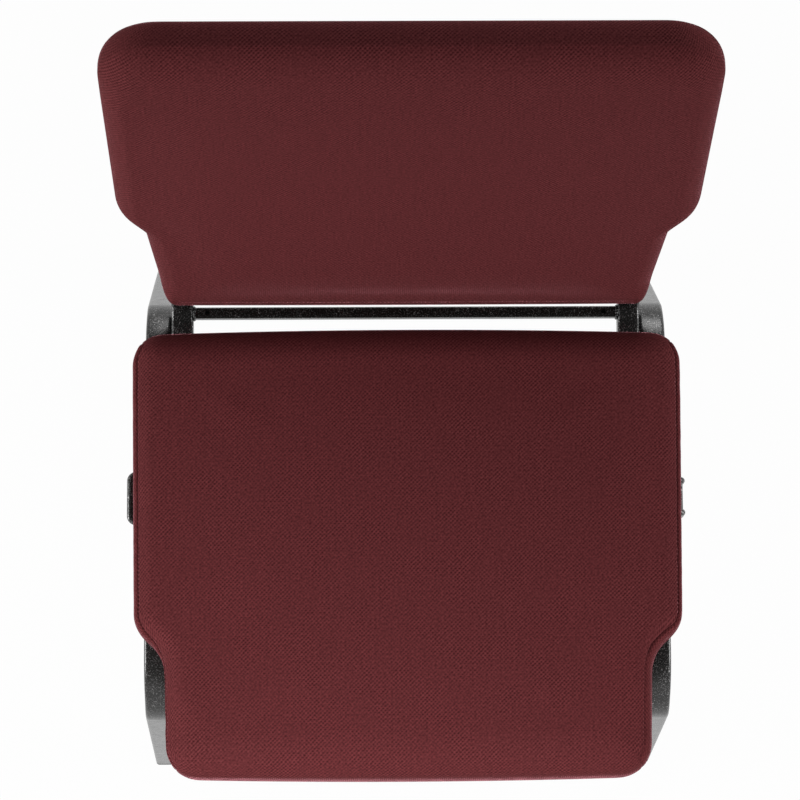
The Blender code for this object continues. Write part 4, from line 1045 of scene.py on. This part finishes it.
def make_leg_frames():
    ends = []
    for y, lean in FEET.values():
        foot = Vector((0.0, y, 0.0))
        axis = leg_axis(lean)
        ends.append((foot + axis * GLIDE_SOLE, foot + axis * (RAIL_MIDDLE / axis.z)))
    path = rounded_path([*ends[0], *reversed(ends[1])], LEG_BEND, BEND_STEPS)
    shape = sweep(path, square_section(LEG_TUBE, LEG_TUBE_CORNER))
    for side_name, side in SIDES.items():
        sharpen(add_piece(side_name + "_leg_tube", splayed(shape, side), "frame", side_name + "_leg_frame"))


def make_uprights():
    bottom = BACK_PLACE + BACK_FORWARD * TUBE_LEVEL
    bend = bottom.y - (bottom.z - RUN_MIDDLE) * math.tan(BACK_LEAN)
    corners = [
        Vector((0.0, UPRIGHT_FRONT_END, RUN_MIDDLE)), Vector((0.0, bend, RUN_MIDDLE)),
        bottom + BACK_UP * UPRIGHT_TOP_END]
    path = rounded_path(corners, UPRIGHT_BEND, BEND_STEPS)
    shape = sweep(path, square_section(UPRIGHT_TUBE, UPRIGHT_TUBE_CORNER))
    for side_name, side in SIDES.items():
        placed = moved_by(shape, Vector((side * UPRIGHT_X, 0.0, 0.0)))
        sharpen(add_piece(side_name + "_upright_tube", placed, "frame", side_name + "_back_upright"))


def make_crossbars():
    for name, corner in CROSSBAR_CORNERS.items():
        low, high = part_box(name)
        middle = (low + high) / 2
        path = [Vector((x, middle.y, middle.z)) for x in (low.x, high.x)]
        shape = sweep(path, square_section(high.z - low.z, corner))
        bar = add_piece(name + "_tube", shape, "frame", name, matrix=Matrix())
        if name == "rear_crossbar":
            cut_holes(bar, high.x - BAR_HOLE_FROM_END, middle.y, high.z)
        sharpen(bar)


def cut_holes(bar, x, y, top):
    """Two blind holes in the top of the bar."""
    drill = turned(((BAR_HOLE_RADIUS, -BAR_HOLE_DEPTH), (BAR_HOLE_RADIUS, BAR_HOLE_DEPTH)), ROUND_STEPS)
    for side in SIDES.values():
        placed = moved_by(drill, Vector((side * x, y, top)))
        cutter = add_object("hole_cutter", new_mesh("hole_cutter", *placed))
        boolean = bar.modifiers.new("hole", 'BOOLEAN')
        boolean.object = cutter
        boolean.operation = 'DIFFERENCE'
        evaluated = bar.evaluated_get(bpy.context.evaluated_depsgraph_get())
        cut = bpy.data.meshes.new_from_object(evaluated)
        bar.modifiers.remove(boolean)
        bar.data = cut
        bpy.data.objects.remove(cutter, do_unlink=True)
    bar.data.shade_smooth()


def make_ganging_rods():
    start = RAIL_OUTER - TOUCH_GAP
    reach = RAIL_OUTER + GANG_STAND_OUT - GANG_ROD_RADIUS

    def at(x, along, drop=0.0):
        return Vector((x, GANG_MIDDLE + along, RAIL_TOP - GANG_BELOW_RAIL_TOP - drop))

    half = GANG_LOOP_LENGTH / 2
    loop = [at(-start, half), at(-reach, half), at(-reach, -half), at(-start, -half)]
    half = GANG_HOOK_LENGTH / 2
    hook = [
        at(start, half), at(reach, half), at(reach, half, GANG_HOOK_DROP),
        at(reach, -half, GANG_HOOK_DROP), at(reach, -half), at(start, -half)]
    for name, corners in (("ganging_loop", loop), ("ganging_hook", hook)):
        path = rounded_path(corners, GANG_BEND, BEND_STEPS // 2)
        sharpen(add_piece(name + "_rod", sweep(path, circle(GANG_ROD_RADIUS)), "frame", name))


def make_glides():
    """Nylon feet, cut level with the floor and flush with the tube."""
    bevelled = 1.0 - 2 * GLIDE_BEVEL / LEG_TUBE
    top = GLIDE_SOLE - TOUCH_GAP
    for foot_name, (y, lean) in FEET.items():
        axis = leg_axis(lean)
        other = axis.cross(Vector((1.0, 0.0, 0.0)))
        square = [Vector((a, 0.0, 0.0)) + other * b for a, b in square_section(LEG_TUBE, LEG_TUBE_CORNER)]
        shape = skin([
            [point * bevelled - axis * (point.z * bevelled / axis.z) for point in square],
            [point - axis * ((point.z - GLIDE_BEVEL) / axis.z) for point in square],
            [point + axis * (top - GLIDE_BEVEL / 2) for point in square],
            [point * (1.0 - GLIDE_BEVEL / LEG_TUBE) + axis * top for point in square]])
        shape = moved_by(shape, Vector((0.0, y, 0.0)))
        for side_name, side in SIDES.items():
            name = side_name + "_" + foot_name
            sharpen(add_piece(name + "_foot", splayed(shape, side), "plastic", name + "_glide"))


def make_bumpers():
    edge = BUMPER_EDGE
    middle = -BUMPER_HEAD / 2
    shape = turned((
        (BUMPER_TIP_RADIUS - edge, -BUMPER_HEAD), (BUMPER_TIP_RADIUS, edge - BUMPER_HEAD),
        (BUMPER_HEAD_RADIUS - edge, middle - edge), (BUMPER_HEAD_RADIUS, middle + edge),
        (BUMPER_HEAD_RADIUS, -edge), (BUMPER_HEAD_RADIUS - edge, 0.0)))
    for side_name, side in SIDES.items():
        for place_name, y in BUMPER_PLACES.items():
            name = side_name + "_" + place_name + "_bumper"
            place = Vector((side * RAIL_X, y, SPLAY_START - TOUCH_GAP))
            sharpen(add_piece(name + "_button", moved_by(shape, place), "plastic", name))


def make_bolts():
    """Hexagon bolts with washers, from below through the uprights into the seat board."""
    edge = WASHER_THICKNESS / 4
    wide = BOLT_HEAD_RADIUS
    hexagon = HEXAGON_SHARE * wide
    head = turned((
        (HEXAGON_CHAMFER * wide, -BOLT_HEAD), (hexagon, 2 * edge - BOLT_HEAD),
        (hexagon, -WASHER_THICKNESS)), 6)
    for side_name in SIDES:
        for place_name in ("front", "rear"):
            name = "seat_bolt_" + side_name + "_" + place_name
            low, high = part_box(name)
            place = Vector(((low.x + high.x) / 2, (low.y + high.y) / 2, low.z + BOLT_HEAD))
            shank = high.z - place.z
            shape = turned((
                (wide - edge, -WASHER_THICKNESS), (wide, edge - WASHER_THICKNESS), (wide, -edge),
                (wide - edge, 0.0), (BOLT_RADIUS, 0.0), (BOLT_RADIUS, shank - 2 * edge),
                (BOLT_RADIUS - edge, shank)))
            placed = moved_by(join((shape, head)), place)
            sharpen(add_piece(name + "_hex", placed, "zinc", name, matrix=Matrix()))


def bead(path, closed=False):
    """Weld bead along a path, with ripples."""
    turns = 2 * math.pi * arc_lengths(np.array(path)) / WELD_RIPPLE
    sizes = [1.0 + WELD_RIPPLE_SHARE * math.sin(turn) for turn in turns]
    if not closed:
        sizes[0] = sizes[-1] = WELD_END_SHARE
    return sweep(path, circle(WELD_RADIUS / 2), sizes, closed)


def evenly(start, end):
    count = max(2, round((end - start).length / WELD_STEP))
    return [start.lerp(end, index / count) for index in range(count + 1)]


def make_welds():
    """Coated weld beads where the tubes and rods meet."""
    beads = []
    for name, corner in CROSSBAR_CORNERS.items():
        low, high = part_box(name)
        middle = (low + high) / 2
        loop = [Vector((0.0, a, b)) for a, b in square_section(high.z - low.z, corner)]
        ring = []
        for before, after in zip(loop, loop[1:] + loop[:1]):
            ring += evenly(before, after)[:-1]
        for side in SIDES.values():
            place = Vector((side * (high.x - WELD_RADIUS / 4), middle.y - SEAT_Y, middle.z))
            beads.append(moved_by(bead(ring, closed=True), place))
    level = RAIL_TOP - UPRIGHT_TUBE
    lift = WELD_RADIUS / 6
    rod = bead([Vector((0.0, a, b)) for a, b in circle(GANG_ROD_RADIUS + lift)], closed=True)
    for side in SIDES.values():
        x = side * (RAIL_INNER - WELD_RADIUS / 4)
        for start, end in WELD_RUNS:
            beads.append(bead(evenly(Vector((x, start, level)), Vector((x, end, level)))))
        half = (GANG_LOOP_LENGTH if side < 0 else GANG_HOOK_LENGTH) / 2
        for y in (GANG_MIDDLE - half, GANG_MIDDLE + half):
            place = Vector((side * (RAIL_OUTER + lift), y, RAIL_TOP - GANG_BELOW_RAIL_TOP))
            beads.append(moved_by(rod, place))
    add_piece("weld_beads", join(beads), "frame")


# Dust cover under the seat

def make_dust_cover():
    """Thin cloth stapled under the seat board, a little slack between the tubes."""
    outline = seat_plan()
    ring = outline.inset(DUST_COVER_INSET)
    plan = outline.fill(ring)
    rows, columns = plan.shape[:2]
    flat = plan.reshape(-1, 2)
    low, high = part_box("seat_dust_cover")
    level = (low.z + high.z) / 2
    points = np.column_stack((flat, level - DUST_COVER_SAG * slack(flat)))
    bow_ends(points)
    faces = grid_faces(np.arange(rows * columns).reshape(rows, columns))[:, ::-1]
    piece = add_piece("dust_sheet", (points, faces.tolist()), "dust_cloth", "seat_dust_cover")
    thickness = piece.modifiers.new("thickness", 'SOLIDIFY')
    thickness.thickness = (high.z - low.z) / 2
    thickness.offset = 0.0
    make_staples(outline, level - thickness.thickness / 2)


def slack(plan):
    """1 in the middle of each field between the tubes, 0 along the tubes."""
    low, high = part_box("front_crossbar")
    across = np.clip(1.0 - (plan[:, 0] / UPRIGHT_INNER) ** 2, 0.0, 1.0) ** 2
    ends = (SEAT_FRONT + DUST_COVER_INSET, low.y - SEAT_Y, high.y - SEAT_Y, SEAT_REAR - DUST_COVER_INSET)
    front = np.clip((plan[:, 1] - ends[0]) / (ends[1] - ends[0]), 0.0, 1.0)
    rear = np.clip((plan[:, 1] - ends[2]) / (ends[3] - ends[2]), 0.0, 1.0)
    waves = 1.0 + 0.25 * np.sin(plan[:, 0] * 61.0 + 3.0 * np.sin(plan[:, 1] * 23.0))
    return across * (np.sin(math.pi * front) ** 2 + np.sin(math.pi * rear) ** 2) * waves / 1.25


def make_staples(outline, level):
    """A row of wire staples round the free edges of the dust cover."""
    ring = outline.inset(STAPLE_INSET)
    closed = np.concatenate((ring, ring[:1]))
    lengths = arc_lengths(closed)

    def on_ring(at):
        x, y = (float(np.interp(at, lengths, closed[:, axis])) for axis in (0, 1))
        return Vector((x, y, level - STAPLE_WIRE / 2))

    leg = Vector((0.0, 0.0, STAPLE_WIRE * 1.5))
    shapes = []
    for number in range(int(lengths[-1] / STAPLE_SPACING)):
        at = (number + 0.5) * STAPLE_SPACING
        middle = on_ring(at)
        beyond_upright = abs(middle.x) > UPRIGHT_INNER - STAPLE_CROWN
        beyond_rail = abs(middle.x) > RAIL_INNER - STAPLE_CROWN
        if beyond_upright and (beyond_rail or middle.y > UPRIGHT_FRONT_END - STAPLE_CROWN):
            continue
        along = (on_ring(at + STAPLE_AHEAD) - middle).normalized()
        tilt = STAPLE_TILT * math.sin(2.4 * number)
        along = (along + Vector((-along.y, along.x, 0.0)) * tilt).normalized()
        ends = [middle - along * (STAPLE_CROWN / 2), middle + along * (STAPLE_CROWN / 2)]
        path = rounded_path([ends[0] + leg, *ends, ends[1] + leg], STAPLE_WIRE * 0.8, 4)
        shapes.append(sweep(path, circle(STAPLE_WIRE / 2)))
    add_piece("dust_cover_staples", join(shapes), "zinc")


# Stage, light and camera

def make_camera():
    forward = Vector((
        math.sin(CAMERA_YAW) * math.cos(CAMERA_DOWN), math.cos(CAMERA_YAW) * math.cos(CAMERA_DOWN),
        -math.sin(CAMERA_DOWN)))
    level = Vector((math.cos(CAMERA_YAW), -math.sin(CAMERA_YAW), 0.0))
    above = level.cross(forward)
    right = level * math.cos(CAMERA_ROLL) + above * math.sin(CAMERA_ROLL)
    up = above * math.cos(CAMERA_ROLL) - level * math.sin(CAMERA_ROLL)
    turn = Matrix((right, up, -forward)).transposed()
    camera = add_object("camera", bpy.data.cameras.new("camera"))
    camera.data.sensor_width = SENSOR
    camera.data.lens = CAMERA_FOCAL_PIXELS / IMAGE_PIXELS * SENSOR
    camera.data.clip_end = 50.0
    camera.matrix_world = Matrix.Translation(CAMERA_PLACE) @ turn.to_4x4()
    bpy.context.scene.camera = camera


def make_floor():
    """White floor: it glows for the camera and for reflections, and takes the chair's shadow."""
    corners = [(x * FLOOR_REACH, y * FLOOR_REACH, 0.0) for x, y in ((-1, -1), (1, -1), (1, 1), (-1, 1))]
    floor = add_object("floor", new_mesh("floor", corners, [(0, 1, 2, 3)]))
    material = bpy.data.materials.new("white_floor")
    floor.data.materials.append(material)
    shader = Shader(material)
    shader.set(Base_Color=(0.5, 0.5, 0.5), Roughness=0.9)
    rays = shader.add("LightPath").outputs
    mirrored = shader.math('MULTIPLY', rays["Is Glossy Ray"], FLOOR_MIRRORED)
    share = shader.math('MULTIPLY_ADD', rays["Is Camera Ray"], FLOOR_WHITE, mirrored)
    glow = shader.add("Emission", {"Strength": 1.0})
    both = shader.add("MixShader", {0: share, 1: shader.surface.outputs[0], 2: glow.outputs[0]})
    shader.put(shader.tree.nodes["Material Output"].inputs[0], both.outputs[0])


def make_world():
    """White room that lights the chair little, with a darker ceiling in reflections."""
    world = bpy.data.worlds.new("studio")
    bpy.context.scene.world = world
    shader = Shader(world, "Background")
    height = shader.add("SeparateXYZ", {0: shader.add("TexCoord").outputs["Generated"]}).outputs[2]
    shown = shader.ramp(height, CEILING_START, CEILING_END, 1.0, CEILING)
    rays = shader.add("LightPath").outputs
    seen = rays["Is Camera Ray"]
    for name in ("Is Glossy Ray", "Is Transmission Ray"):
        seen = shader.math('MAXIMUM', seen, rays[name])
    shader.set(Color=(1.0, 1.0, 1.0), Strength=shader.ramp(seen, 0.0, 1.0, AMBIENT, shown))


def make_lamps():
    for name, place, aim, size, power, mirrored in LAMPS:
        light = bpy.data.lights.new(name, 'AREA')
        light.shape = 'RECTANGLE'
        light.size, light.size_y = size
        light.energy = power
        lamp = add_object(name, light)
        lamp.location = place
        lamp.rotation_euler = (Vector(aim) - Vector(place)).to_track_quat('-Z', 'Y').to_euler()
        lamp.visible_glossy = mirrored


dress_frame_nodes()
make_seat_pad()
make_back_pad()
make_leg_frames()
make_uprights()
make_crossbars()
make_ganging_rods()
make_glides()
make_bumpers()
make_bolts()
make_welds()
make_dust_cover()
make_floor()
make_world()
make_lamps()
make_camera()
bpy.context.scene.view_settings.view_transform = 'Standard'
